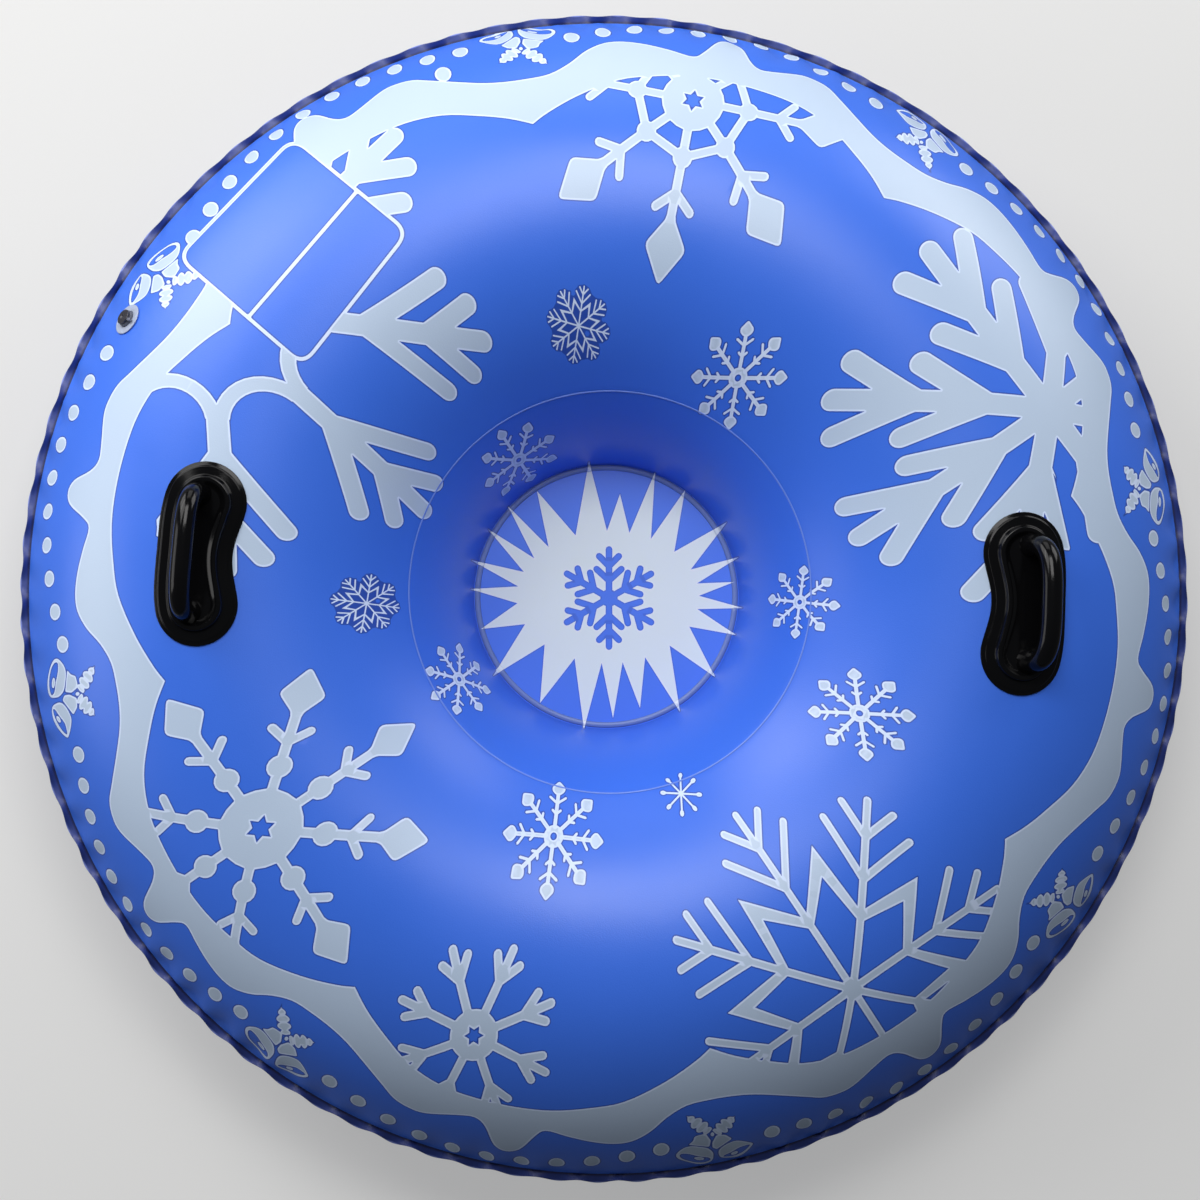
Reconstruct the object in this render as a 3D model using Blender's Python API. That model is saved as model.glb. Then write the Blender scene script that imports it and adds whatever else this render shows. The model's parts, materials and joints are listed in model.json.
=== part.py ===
"""An inflatable snow tube with a seat well, two moulded grab handles and an inflation valve.

The tube lies flat, as it is ridden. Lengths are in metres, +Z is up, and the origin is on the ground under the
middle of the ring. A printed top sheet and a plain bottom sheet are welded together at the rim and at the seat
floor, so the air chamber between them is a ring. Each sheet is a thin shell, and the chamber is left open.
"""

import math

import bmesh
import bpy
from mathutils import Matrix, Vector

# The air chamber is a ring between two welds, the rim's and the seat floor's. Its other places are given as
# shares of the ring's width, in from the rim weld or up from the ground: a wider ring also blows up higher.
WELD_RADIUS = 0.545
FLOOR_RADIUS = 0.128
CREST_INSET_SHARE = 0.4676
CREST_HEIGHT_SHARE = 0.6115
WELD_HEIGHT_SHARE = 0.2998
FLOOR_HEIGHT_SHARE = 0.1727
SEAM_INSET_SHARE = 0.8592
GROUND_OUTER_INSET_SHARE = 0.3477
GROUND_INNER_INSET_SHARE = 0.5875
SHEET_THICKNESS = 0.0008
JOINT_GAP = 0.0003

# The welds
RIM_WIDTH = 0.009
RIM_THICKNESS = 0.0010
PUCKER_HEIGHT = 0.0028
PUCKERS = 88
SEAM_BEAD_WIDTH = 0.0034
SEAM_BEAD_PROUD = 0.0004
FLOOR_BEAD_WIDTH = 0.0056
FLOOR_BEAD_THICKNESS = 0.0007

# The grab handles, just outside the crest: a base like a bean, bent round the well, and a bar over its dish
HANDLE_OUTSET = 0.026
HANDLE_ANGLES = {"right_handle": math.radians(-2.0), "left_handle": math.radians(175.2)}
SPINE_LENGTH = 0.092
SPINE_BEND_RADIUS = 0.190
BASE_HALF_WIDTH = 0.0375
WAIST_DIP = 0.0030
BASE_THICKNESS = 0.0022
FLANGE_WIDTH = 0.0125
STEP_WIDTH = 0.0016
LIP_WIDTH = 0.0040
LIP_HEIGHT = 0.0070
DISH_SLOPE_WIDTH = 0.0035
DISH_HEIGHT = 0.0036
GRIP_RADIUS = 0.0095
GRIP_HALF_SPAN = 0.0530
GRIP_RISE = 0.0360
GRIP_SHIFTS = {"right_handle": 0.0100, "left_handle": 0.0020}
GRIP_FOOT_LIFT = 0.0014

# The inflation valve, on the outer slope of the tube, near the rim weld
VALVE_INSET = 0.033
VALVE_ANGLE = math.radians(150.6)
BORE_RADIUS = 0.0042
STEM_RADIUS = 0.0080
STEM_TOP = 0.0040
STEM_TRAVEL = 0.0100
COLLAR_WIDTH = 0.0013
COLLAR_THICKNESS = 0.0012
FLANGE_RADIUS = 0.0152
FLANGE_THICKNESS = 0.0012
NECK_WALL = 0.0012
NECK_DEPTH = 0.0090
RUNNING_GAP = 0.0003
CAP_RADIUS = 0.0074
CAP_THICKNESS = 0.0022
DIMPLE_RADIUS = 0.0032
DIMPLE_DEPTH = 0.0008
SHANK_CLEARANCE = 0.0002
SHANK_LENGTH = 0.0090
FLAP_RADIUS = 0.0062
FLAP_THICKNESS = 0.0006
TETHER_WIDTH = 0.0030
TETHER_THICKNESS = 0.0008
TETHER_REACH = 0.0034
SMALL_CHAMFER = 0.0005

# How finely the curves are cut, and how far a cutter runs past what it cuts
AROUND = 64
OUTER_BOW_STEPS = 6
INNER_BOW_STEPS = 4
WALL_STEPS = 3
UNDER_BOW_STEPS = 4
PUCKER_STEPS = 4
SIDE_STEPS = 6
END_STEPS = 5
GRIP_STEPS = 12
GRIP_SIDES = 12
VALVE_SIDES = 24
TETHER_STEPS = 6
CUT_OVERRUN = 0.0100
MERGE_DISTANCE = 0.000001

UP = Vector((0, 0, 1))


class Bow:
    """The arc of a blown-up sheet. It leaves its start level and curves to its end, both (radius, height)."""

    def __init__(self, start, end):
        run = end[0] - start[0]
        climb = end[1] - start[1]
        self.start = start
        self.turn = 2 * math.atan2(abs(climb), abs(run))
        self.radius = abs(run) / math.sin(self.turn)
        self.side = math.copysign(1, run)
        self.way = math.copysign(1, climb)

    def point(self, angle, lift=0):
        """The place on the arc where the sheet has turned by the angle, raised off the sheet by the lift."""
        reach = self.radius + lift
        across = self.side * reach * math.sin(angle)
        along = self.way * (self.radius - reach * math.cos(angle))
        return Vector((self.start[0] + across, self.start[1] + along))

    def angle_at(self, radius):
        return math.asin(abs(radius - self.start[0]) / self.radius)

    def points(self, first, last, steps, lift=0):
        """Evenly spaced places from one turn to another."""
        return [self.point(first + (last - first) * k / steps, lift) for k in range(steps + 1)]


def inset_radius(share):
    """The radius of a place on the ring, a share of the ring's width in from the rim weld."""
    return WELD_RADIUS - share * RING_WIDTH


RING_WIDTH = WELD_RADIUS - FLOOR_RADIUS
CREST_RADIUS = inset_radius(CREST_INSET_SHARE)
CREST_HEIGHT = CREST_HEIGHT_SHARE * RING_WIDTH
WELD_HEIGHT = WELD_HEIGHT_SHARE * RING_WIDTH
FLOOR_HEIGHT = FLOOR_HEIGHT_SHARE * RING_WIDTH
SEAM_RADIUS = inset_radius(SEAM_INSET_SHARE)
GROUND_OUTER_RADIUS = inset_radius(GROUND_OUTER_INSET_SHARE)
GROUND_INNER_RADIUS = inset_radius(GROUND_INNER_INSET_SHARE)
HANDLE_RADIUS = CREST_RADIUS + HANDLE_OUTSET
VALVE_RADIUS = WELD_RADIUS - VALVE_INSET
SHEET_END = JOINT_GAP / 2 + SHEET_THICKNESS
UNDER_FLOOR_HEIGHT = FLOOR_HEIGHT - 2 * SHEET_THICKNESS - JOINT_GAP
TOP_OUTER = Bow((CREST_RADIUS, CREST_HEIGHT), (WELD_RADIUS, WELD_HEIGHT + SHEET_END))
TOP_INNER = Bow((CREST_RADIUS, CREST_HEIGHT), (FLOOR_RADIUS, FLOOR_HEIGHT))
UNDER_OUTER = Bow((GROUND_OUTER_RADIUS, 0), (WELD_RADIUS, WELD_HEIGHT - SHEET_END))
UNDER_INNER = Bow((GROUND_INNER_RADIUS, 0), (FLOOR_RADIUS, UNDER_FLOOR_HEIGHT))


def seam_turns():
    """The turns of the well wall's bow at the outer and inner edges of the seam bead."""
    middle = TOP_INNER.angle_at(SEAM_RADIUS)
    half = SEAM_BEAD_WIDTH / 2 / TOP_INNER.radius
    return middle - half, middle + half


def skin(radius):
    """The height of the top skin at a radius, and how far its normal leans away from the tube's axis."""
    bow = TOP_OUTER if radius > CREST_RADIUS else TOP_INNER
    angle = bow.angle_at(radius)
    return bow.point(angle)[1], bow.side * angle


def off_skin(x, y, lift):
    """The point at a distance off the top skin, over a point of the plan."""
    radius = math.hypot(x, y)
    height, lean = skin(radius)
    outward = Vector((x, y, 0)) / radius
    return Vector((x, y, height)) + (outward * math.sin(lean) + UP * math.cos(lean)) * lift


def thickened(line, thickness):
    """The closed section of a sheet whose shown face is the line. Its other face lies on the line's left."""
    back = []
    for k, place in enumerate(line):
        before = (line[max(k, 1)] - line[max(k, 1) - 1]).normalized()
        after = (line[min(k + 1, len(line) - 1)] - line[min(k, len(line) - 2)]).normalized()
        middle = (before + after).normalized()
        back.append(place + Vector((-middle.y, middle.x)) * thickness / middle.dot(before))
    return [*line, *reversed(back)]


def material(name, colour, roughness, alpha=1.0):
    """A plain finish in the piece's own colour."""
    made = bpy.data.materials.new(name)
    made.use_nodes = True
    shader = made.node_tree.nodes["Principled BSDF"]
    shader.inputs["Base Color"].default_value = (*colour, 1)
    shader.inputs["Roughness"].default_value = roughness
    shader.inputs["Metallic"].default_value = 0
    shader.inputs["Alpha"].default_value = alpha
    return made


def finished(name, mesh, finish):
    """An object of the mesh, closed, smooth and with its faces outwards."""
    bmesh.ops.remove_doubles(mesh, verts=mesh.verts, dist=MERGE_DISTANCE)
    bmesh.ops.recalc_face_normals(mesh, faces=mesh.faces)
    data = bpy.data.meshes.new(name)
    mesh.to_mesh(data)
    mesh.free()
    data.shade_smooth()
    data.set_sharp_from_angle(angle=math.radians(35))
    data.materials.append(finish)
    made = bpy.data.objects.new(name, data)
    bpy.context.scene.collection.objects.link(made)
    return made


def turned(name, section, sides, finish):
    """Spins a section, given as (radius, height) corners in order, into a round piece."""
    mesh = bmesh.new()
    corners = [mesh.verts.new((radius, 0, height)) for radius, height in section]
    pairs = zip(corners, corners[1:] + corners[:1])
    edges = [mesh.edges.new(pair) for pair in pairs if max(pair[0].co.x, pair[1].co.x) > 0]
    bmesh.ops.spin(
        mesh, geom=corners + edges, cent=(0, 0, 0), axis=UP, angle=math.tau, steps=sides, use_merge=True
    )
    return finished(name, mesh, finish)


def lofted(mesh, rings):
    """Joins rings of equal count, each to the next, and returns their corners."""
    corners = [[mesh.verts.new(place) for place in ring] for ring in rings]
    for ring, other in zip(corners, corners[1:]):
        count = len(ring)
        for k in range(count):
            mesh.faces.new((ring[k], ring[(k + 1) % count], other[(k + 1) % count], other[k]))
    return corners


def cutter(made):
    """Keeps an object as a tool of a Boolean: it is drawn as wires and never rendered."""
    made.hide_render = True
    made.display_type = "WIRE"
    return made


def combined(made, other, operation):
    """Cuts or joins one object with another, which stays as a tool."""
    step = made.modifiers.new(operation.lower(), "BOOLEAN")
    step.operation = operation
    step.solver = "EXACT"
    step.object = cutter(other)


def valve_place():
    """The valve's own frame: Z out along the skin's normal and X down the slope."""
    height, lean = skin(VALVE_RADIUS)
    radial = Vector((math.cos(VALVE_ANGLE), math.sin(VALVE_ANGLE), 0))
    normal = radial * math.sin(lean) + UP * math.cos(lean)
    down = radial * math.cos(lean) - UP * math.sin(lean)
    place = Matrix((down, normal.cross(down), normal)).transposed().to_4x4()
    place.translation = radial * VALVE_RADIUS + UP * height
    return place


def make_top_sheet(finish):
    """The printed sheet, from the rim over the crest to the seam in the well, with a hole for the valve."""
    line = TOP_OUTER.points(TOP_OUTER.turn, 0, OUTER_BOW_STEPS)[:-1]
    line += TOP_INNER.points(0, seam_turns()[0] - JOINT_GAP / TOP_INNER.radius, INNER_BOW_STEPS)
    sheet = turned("top_sheet", thickened(line, SHEET_THICKNESS), AROUND, finish)
    hole = turned("valve_hole_tool", hole_section(), VALVE_SIDES, finish)
    hole.matrix_world = valve_place()
    combined(sheet, hole, "DIFFERENCE")
    return sheet


def hole_section():
    """The hole that the valve's neck passes through, a running gap wider than the neck."""
    radius = STEM_RADIUS + RUNNING_GAP + NECK_WALL + JOINT_GAP
    return [(0, CUT_OVERRUN), (radius, CUT_OVERRUN), (radius, -CUT_OVERRUN), (0, -CUT_OVERRUN)]


def make_well_sheet(finish):
    """The dished sheet of the seat well: its wall from the seam down to the foot, and its round floor."""
    line = TOP_INNER.points(seam_turns()[1] + JOINT_GAP / TOP_INNER.radius, TOP_INNER.turn, WALL_STEPS)
    line.append(Vector((0, FLOOR_HEIGHT)))
    return turned("well_sheet", thickened(line, SHEET_THICKNESS), AROUND, finish)


def make_bottom_sheet(finish):
    """The plain sheet: the layer under the seat floor, the ring that meets the ground, and the outer bow."""
    line = [Vector((0, UNDER_FLOOR_HEIGHT))]
    line += UNDER_INNER.points(UNDER_INNER.turn, 0, UNDER_BOW_STEPS)
    line += UNDER_OUTER.points(0, UNDER_OUTER.turn, OUTER_BOW_STEPS)
    return turned("bottom_sheet", thickened(line, SHEET_THICKNESS), AROUND, finish)


def make_rim_weld(finish):
    """The welded rim: a flat band that the shrunk sheets throw into even puckers at its free edge."""
    inner = WELD_RADIUS + JOINT_GAP
    outer = inner + RIM_WIDTH
    half = RIM_THICKNESS / 2
    steps = PUCKERS * PUCKER_STEPS
    mesh = bmesh.new()
    rings = []
    for radius, wave, lift in ((inner, 0, half), (outer, 1, half), (outer, 1, -half), (inner, 0, -half)):
        ring = []
        for k in range(steps):
            angle = math.tau * k / steps
            height = WELD_HEIGHT + lift + wave * PUCKER_HEIGHT * math.sin(PUCKERS * angle)
            ring.append((radius * math.cos(angle), radius * math.sin(angle), height))
        rings.append(ring)
    corners = lofted(mesh, rings)
    for k in range(steps):
        other = (k + 1) % steps
        mesh.faces.new((corners[-1][k], corners[-1][other], corners[0][other], corners[0][k]))
    return finished("outer_weld_rim", mesh, finish)


def make_seam_weld(finish):
    """The bead that joins the printed sheet to the well sheet, a little proud of both."""
    line = TOP_INNER.points(*seam_turns(), 1, SEAM_BEAD_PROUD)
    section = thickened(line, SHEET_THICKNESS + SEAM_BEAD_PROUD)
    return turned("well_seam_weld", section, AROUND, finish)


def make_floor_weld(finish):
    """The flat bead round the seat floor, where the well sheet is welded down to the bottom sheet."""
    outer = FLOOR_RADIUS - 2 * JOINT_GAP
    inner = outer - FLOOR_BEAD_WIDTH
    low = FLOOR_HEIGHT + JOINT_GAP
    high = low + FLOOR_BEAD_THICKNESS
    section = [(inner, high), (outer, high), (outer, low), (inner, low)]
    return turned("floor_weld_ring", section, AROUND, finish)


def spine_point(along, offset):
    """A place beside the handle's bent spine, as (along, across) in the handle's plan."""
    angle = along / SPINE_BEND_RADIUS
    reach = SPINE_BEND_RADIUS + offset
    return reach * math.sin(angle), reach * math.cos(angle) - SPINE_BEND_RADIUS


def base_ring(inset, lift):
    """The base's outline drawn in by an inset: an outer side, an end, an inner side and the other end."""
    half = SPINE_LENGTH / 2
    end_turn = half / SPINE_BEND_RADIUS
    ring = []
    for side in (1, -1):
        for k in range(SIDE_STEPS + 1):
            along = side * (2 * k / SIDE_STEPS - 1) * half
            waist = WAIST_DIP * math.cos(math.pi * along / SPINE_LENGTH) ** 2
            ring.append((*spine_point(along, side * (BASE_HALF_WIDTH - waist - inset)), lift))
        centre = spine_point(side * half, 0)
        first = end_turn if side > 0 else math.pi - end_turn
        for k in range(1, END_STEPS + 1):
            turn = first + math.pi * k / (END_STEPS + 1)
            reach = BASE_HALF_WIDTH - inset
            ring.append((centre[0] + reach * math.sin(turn), centre[1] + reach * math.cos(turn), lift))
    return ring


def close_across(mesh, ring):
    """Fills a base ring with strips from side to side and a fan at each end."""
    half = len(ring) // 2
    opposite = [ring[half + SIDE_STEPS - k] for k in range(SIDE_STEPS + 1)]
    for k in range(SIDE_STEPS):
        mesh.faces.new((ring[k], ring[k + 1], opposite[k + 1], opposite[k]))
    mesh.faces.new(ring[SIDE_STEPS : half + 1])
    mesh.faces.new((*ring[half + SIDE_STEPS :], ring[0]))


def base_steps():
    """The base from its underside over its edge, flange, step and lip into the dish, as (inset, height)."""
    lip = FLANGE_WIDTH + STEP_WIDTH
    dish = lip + LIP_WIDTH
    floor = dish + DISH_SLOPE_WIDTH
    return [
        (floor, 0),
        (lip, 0),
        (0, 0),
        (0, BASE_THICKNESS),
        (FLANGE_WIDTH, BASE_THICKNESS),
        (lip, LIP_HEIGHT),
        (dish, LIP_HEIGHT),
        (floor, DISH_HEIGHT),
    ]


def grip_rings(shift):
    """The bar: a round section along a flat-topped arch that leans to the handle's outer side by the shift."""
    share = 2 / 3
    path = []
    for k in range(GRIP_STEPS + 1):
        turn = math.pi * k / GRIP_STEPS
        rise = abs(math.sin(turn)) ** share
        along = -math.copysign(abs(math.cos(turn)) ** share, math.cos(turn)) * GRIP_HALF_SPAN
        lift = GRIP_FOOT_LIFT + (GRIP_RISE - GRIP_FOOT_LIFT) * rise
        path.append(Vector((along, shift * rise, lift)))
    rings = []
    for k, middle in enumerate(path):
        if k in (0, GRIP_STEPS):
            way = UP if k == 0 else -UP
        else:
            way = (path[k + 1] - path[k - 1]).normalized()
        beside = way.cross(Vector((0, 1, 0))).normalized()
        other = way.cross(beside)
        turns = [math.tau * side / GRIP_SIDES for side in range(GRIP_SIDES)]
        rings.append([middle + (beside * math.cos(t) + other * math.sin(t)) * GRIP_RADIUS for t in turns])
    return rings


def on_handle(place, angle):
    """Moves a point of a handle's own (along, across, lift) space onto the tube, whose bow would widen it."""
    along, across, lift = place
    reach = HANDLE_RADIUS + across * TOP_OUTER.radius / (TOP_OUTER.radius + lift)
    x = reach * math.cos(angle) - along * math.sin(angle)
    y = reach * math.sin(angle) + along * math.cos(angle)
    return off_skin(x, y, lift)


def make_handle(name, angle, finish):
    """A handle moulded in one: the base follows the skin, and the bar is joined to it."""
    mesh = bmesh.new()
    rings = [
        [on_handle(place, angle) for place in base_ring(inset, JOINT_GAP + height)]
        for inset, height in base_steps()
    ]
    corners = lofted(mesh, rings)
    close_across(mesh, corners[0])
    close_across(mesh, corners[-1])
    handle = finished(name, mesh, finish)
    mesh = bmesh.new()
    rings = [[on_handle(place, angle) for place in ring] for ring in grip_rings(GRIP_SHIFTS[name])]
    corners = lofted(mesh, rings)
    mesh.faces.new(corners[0])
    mesh.faces.new(corners[-1])
    combined(handle, finished(name + "_bar_tool", mesh, finish), "UNION")
    return handle


def flap_height():
    """The height of the flap's hinge, just under the stem's inner end, from the skin."""
    return stem_bottom() - JOINT_GAP - FLAP_THICKNESS / 2


def stem_bottom():
    """The stem's inner end: its collar meets the neck when the stem has been pulled out by its travel."""
    return -NECK_DEPTH - STEM_TRAVEL - JOINT_GAP - COLLAR_THICKNESS


def make_valve_flange(finish):
    """The disc welded onto the skin and the neck under it, in which the stem slides."""
    inner = STEM_RADIUS + RUNNING_GAP
    neck = inner + NECK_WALL
    top = JOINT_GAP + FLANGE_THICKNESS
    section = [
        (inner, top),
        (FLANGE_RADIUS - SMALL_CHAMFER, top),
        (FLANGE_RADIUS, top - SMALL_CHAMFER),
        (FLANGE_RADIUS, JOINT_GAP),
        (neck, JOINT_GAP),
        (neck, -NECK_DEPTH),
        (inner, -NECK_DEPTH),
    ]
    return turned("valve_flange", section, VALVE_SIDES, finish)


def make_valve_stem(finish):
    """The tube that is pulled out to blow the chamber up, with a collar that keeps it in."""
    bottom = stem_bottom()
    collar = STEM_RADIUS + COLLAR_WIDTH
    section = [
        (BORE_RADIUS, STEM_TOP),
        (STEM_RADIUS - SMALL_CHAMFER, STEM_TOP),
        (STEM_RADIUS, STEM_TOP - SMALL_CHAMFER),
        (STEM_RADIUS, bottom + COLLAR_THICKNESS),
        (collar, bottom + COLLAR_THICKNESS),
        (collar, bottom),
        (BORE_RADIUS, bottom),
    ]
    return turned("valve_stem", section, VALVE_SIDES, finish)


def make_valve_plug(finish):
    """The stopper: a cap with a dimple over the stem, and a shank in the stem's bore."""
    low = STEM_TOP + JOINT_GAP
    high = low + CAP_THICKNESS
    shank = BORE_RADIUS - SHANK_CLEARANCE
    section = [
        (0, high - DIMPLE_DEPTH),
        (DIMPLE_RADIUS - DIMPLE_DEPTH, high - DIMPLE_DEPTH),
        (DIMPLE_RADIUS, high),
        (CAP_RADIUS - SMALL_CHAMFER, high),
        (CAP_RADIUS, high - SMALL_CHAMFER),
        (CAP_RADIUS, low),
        (shank, low),
        (shank, low - SHANK_LENGTH + SMALL_CHAMFER),
        (shank - SMALL_CHAMFER, low - SHANK_LENGTH),
        (0, low - SHANK_LENGTH),
    ]
    return turned("valve_plug", section, VALVE_SIDES, finish)


def make_valve_flap(finish):
    """The check flap under the bore. Its origin is on its hinge, at the edge that lies down the slope."""
    half = FLAP_THICKNESS / 2
    section = [(0, half), (FLAP_RADIUS, half), (FLAP_RADIUS, -half), (0, -half)]
    flap = turned("valve_flap", section, VALVE_SIDES, finish)
    flap.data.transform(Matrix.Translation((-FLAP_RADIUS, 0, 0)))
    return flap


def make_valve_tether(finish):
    """The strap that keeps the stopper on the stem: a small loop from the stem's side to the cap's rim."""
    half = TETHER_THICKNESS / 2
    low = STEM_TOP - SMALL_CHAMFER - half
    high = STEM_TOP + JOINT_GAP + CAP_THICKNESS - SMALL_CHAMFER - half
    bend = (high - low) / 2
    middle = (high + low) / 2
    bend_at = STEM_RADIUS + TETHER_REACH - bend
    turns = [math.pi * (k / TETHER_STEPS - 1 / 2) for k in range(TETHER_STEPS + 1)]
    line = [(STEM_RADIUS + JOINT_GAP, low, turns[0])]
    line += [(bend_at + bend * math.cos(turn), middle + bend * math.sin(turn), turn) for turn in turns]
    line.append((CAP_RADIUS + JOINT_GAP, high, turns[-1]))
    mesh = bmesh.new()
    rings = []
    for x, height, turn in line:
        out = Vector((math.cos(turn), 0, math.sin(turn))) * half
        side = Vector((0, TETHER_WIDTH / 2, 0))
        centre = Vector((x, 0, height))
        rings.append([centre + out + side, centre + out - side, centre - out - side, centre - out + side])
    corners = lofted(mesh, rings)
    mesh.faces.new(corners[0])
    mesh.faces.new(corners[-1])
    return finished("valve_tether", mesh, finish)


def assemble_valve(clear, soft):
    """Builds the valve's pieces in its own frame and puts them on the slope under one empty."""
    root = bpy.data.objects.new("valve_axis", None)
    bpy.context.scene.collection.objects.link(root)
    root.matrix_world = valve_place()
    flap = make_valve_flap(soft)
    flap.location = (FLAP_RADIUS, 0, flap_height())
    flap.parent = root
    for make_piece in (make_valve_flange, make_valve_stem, make_valve_plug, make_valve_tether):
        make_piece(clear).parent = root


def main():
    """Clears the scene and builds every piece."""
    for old in list(bpy.data.objects):
        bpy.data.objects.remove(old, do_unlink=True)
    printed = material("printed_vinyl", (0.045, 0.127, 0.645), 0.34)
    plain = material("plain_vinyl", (0.030, 0.080, 0.450), 0.38)
    weld = material("welded_vinyl", (0.020, 0.040, 0.220), 0.40)
    black = material("moulded_black", (0.010, 0.010, 0.012), 0.22)
    clear = material("clear_vinyl", (0.180, 0.220, 0.300), 0.12, 0.8)
    soft = material("flap_vinyl", (0.250, 0.300, 0.400), 0.30)
    make_top_sheet(printed)
    make_well_sheet(printed)
    make_bottom_sheet(plain)
    make_rim_weld(weld)
    make_seam_weld(printed)
    make_floor_weld(weld)
    for name, angle in HANDLE_ANGLES.items():
        make_handle(name, angle, black)
    assemble_valve(clear, soft)


main()
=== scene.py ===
# %% [markdown]
# # A snow tube, built piece by piece
# A snow tube is a ring of air between two sheets of vinyl. The printed top sheet and the plain bottom sheet
# are welded together at the rim and again under the seat, so the middle sinks into a well for the rider. The
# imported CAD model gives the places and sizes. This script dresses it with finer shapes, print and finishes.

import cmath
import json
import math
from functools import partial

import bmesh
import bpy
from mathutils import Matrix, Vector
from mathutils.bvhtree import BVHTree
from mathutils.geometry import delaunay_2d_cdt
from mathutils.kdtree import KDTree


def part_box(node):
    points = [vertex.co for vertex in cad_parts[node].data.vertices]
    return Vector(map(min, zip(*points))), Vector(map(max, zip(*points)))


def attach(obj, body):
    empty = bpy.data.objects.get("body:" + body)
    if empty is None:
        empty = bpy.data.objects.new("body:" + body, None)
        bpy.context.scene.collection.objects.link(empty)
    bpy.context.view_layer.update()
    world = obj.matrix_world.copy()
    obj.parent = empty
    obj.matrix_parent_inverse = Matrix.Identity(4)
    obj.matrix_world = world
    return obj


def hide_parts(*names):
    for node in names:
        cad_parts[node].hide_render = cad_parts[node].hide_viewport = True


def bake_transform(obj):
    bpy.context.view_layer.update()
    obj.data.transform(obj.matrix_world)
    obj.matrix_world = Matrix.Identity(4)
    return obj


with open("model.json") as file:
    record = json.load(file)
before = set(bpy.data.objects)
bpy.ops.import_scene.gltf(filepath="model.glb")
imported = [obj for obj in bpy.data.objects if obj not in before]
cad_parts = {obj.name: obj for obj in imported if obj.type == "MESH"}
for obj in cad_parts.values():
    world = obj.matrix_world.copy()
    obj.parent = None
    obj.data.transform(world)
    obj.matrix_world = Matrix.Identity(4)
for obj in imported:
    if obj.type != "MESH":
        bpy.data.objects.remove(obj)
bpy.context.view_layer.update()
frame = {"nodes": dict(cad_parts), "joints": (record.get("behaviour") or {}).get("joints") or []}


def short(values):
    """Numbers rounded to four places, for printing."""
    return [round(value, 4) for value in values]


# %% [markdown]
# The sheets of a blown-up ring are drawn by air into even arcs. Each arc leaves a level place, the crest or
# the ground, and ends at a weld. So the crest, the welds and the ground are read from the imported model, and
# the whole skin follows from them by one small class. A mesh copied from the model would keep its facets.

# %% Places of the air chamber, from the frame
MM = 0.001
FIT_GAP = 0.3 * MM
SHEET_THICKNESS = 0.8 * MM
UP = Vector((0, 0, 1))


def corners_of(name):
    """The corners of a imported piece, in the shared frame."""
    return [corner.co.copy() for corner in frame["nodes"][name].data.vertices]


def radius_of(place):
    return math.hypot(place.x, place.y)


rim_low, rim_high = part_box("outer_weld_rim")
ring_low, ring_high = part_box("floor_weld_ring")
crest = max(corners_of("top_sheet"), key=lambda place: place.z)
ground = [radius_of(place) for place in corners_of("bottom_sheet") if place.z < FIT_GAP]
WELD_RADIUS = max(radius_of(place) for place in corners_of("top_sheet"))
WELD_HEIGHT = (rim_low.z + rim_high.z) / 2
RIM_REACH = max(radius_of(place) for place in corners_of("outer_weld_rim"))
FLOOR_RADIUS = ring_high.x + 2 * FIT_GAP
FLOOR_HEIGHT = ring_low.z - FIT_GAP
SHEET_END = FIT_GAP / 2 + SHEET_THICKNESS
UNDER_FLOOR_HEIGHT = FLOOR_HEIGHT - 2 * SHEET_THICKNESS - FIT_GAP
print("weld", short((WELD_RADIUS, WELD_HEIGHT)), "floor", short((FLOOR_RADIUS, FLOOR_HEIGHT)))


# %% The arc of a blown-up sheet
class Bow:
    """The arc of a blown-up sheet. It leaves its start level and curves to its end, both (radius, height)."""

    def __init__(self, start, end):
        run = end[0] - start[0]
        climb = end[1] - start[1]
        self.start = start
        self.turn = 2 * math.atan2(abs(climb), abs(run))
        self.radius = abs(run) / math.sin(self.turn)
        self.side = math.copysign(1, run)
        self.way = math.copysign(1, climb)
        self.length = self.radius * self.turn

    def point(self, turn, lift=0):
        """The (radius, height) where the sheet has turned by an angle, raised off the sheet by the lift."""
        reach = self.radius + lift
        across = self.side * reach * math.sin(turn)
        along = self.way * (self.radius - reach * math.cos(turn))
        return self.start[0] + across, self.start[1] + along

    def turn_at(self, radius):
        return math.asin(min(1, abs(radius - self.start[0]) / self.radius))


CREST_RADIUS = radius_of(crest)
TOP_OUTER = Bow((CREST_RADIUS, crest.z), (WELD_RADIUS, WELD_HEIGHT + SHEET_END))
TOP_INNER = Bow((CREST_RADIUS, crest.z), (FLOOR_RADIUS, FLOOR_HEIGHT))
UNDER_OUTER = Bow((max(ground), 0), (WELD_RADIUS, WELD_HEIGHT - SHEET_END))
UNDER_INNER = Bow((min(ground), 0), (FLOOR_RADIUS, UNDER_FLOOR_HEIGHT))
for title, bow in (("outer", TOP_OUTER), ("inner", TOP_INNER), ("under", UNDER_OUTER)):
    print(title, "arc turns", round(math.degrees(bow.turn), 1), "degrees on", round(bow.radius, 4), "m")

# %% [markdown]
# The print was laid on the sheet while it was flat. A flat chart of the skin keeps the distance from the
# middle of the seat, measured along the sheet, and the angle round the tube. A snowflake that is regular on
# this chart is drawn out along the sheet and squeezed round it, as the real print is. At the seam of the well
# the sheet has a soft fold: it runs in a little flatter and leaves a little steeper.

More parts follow.
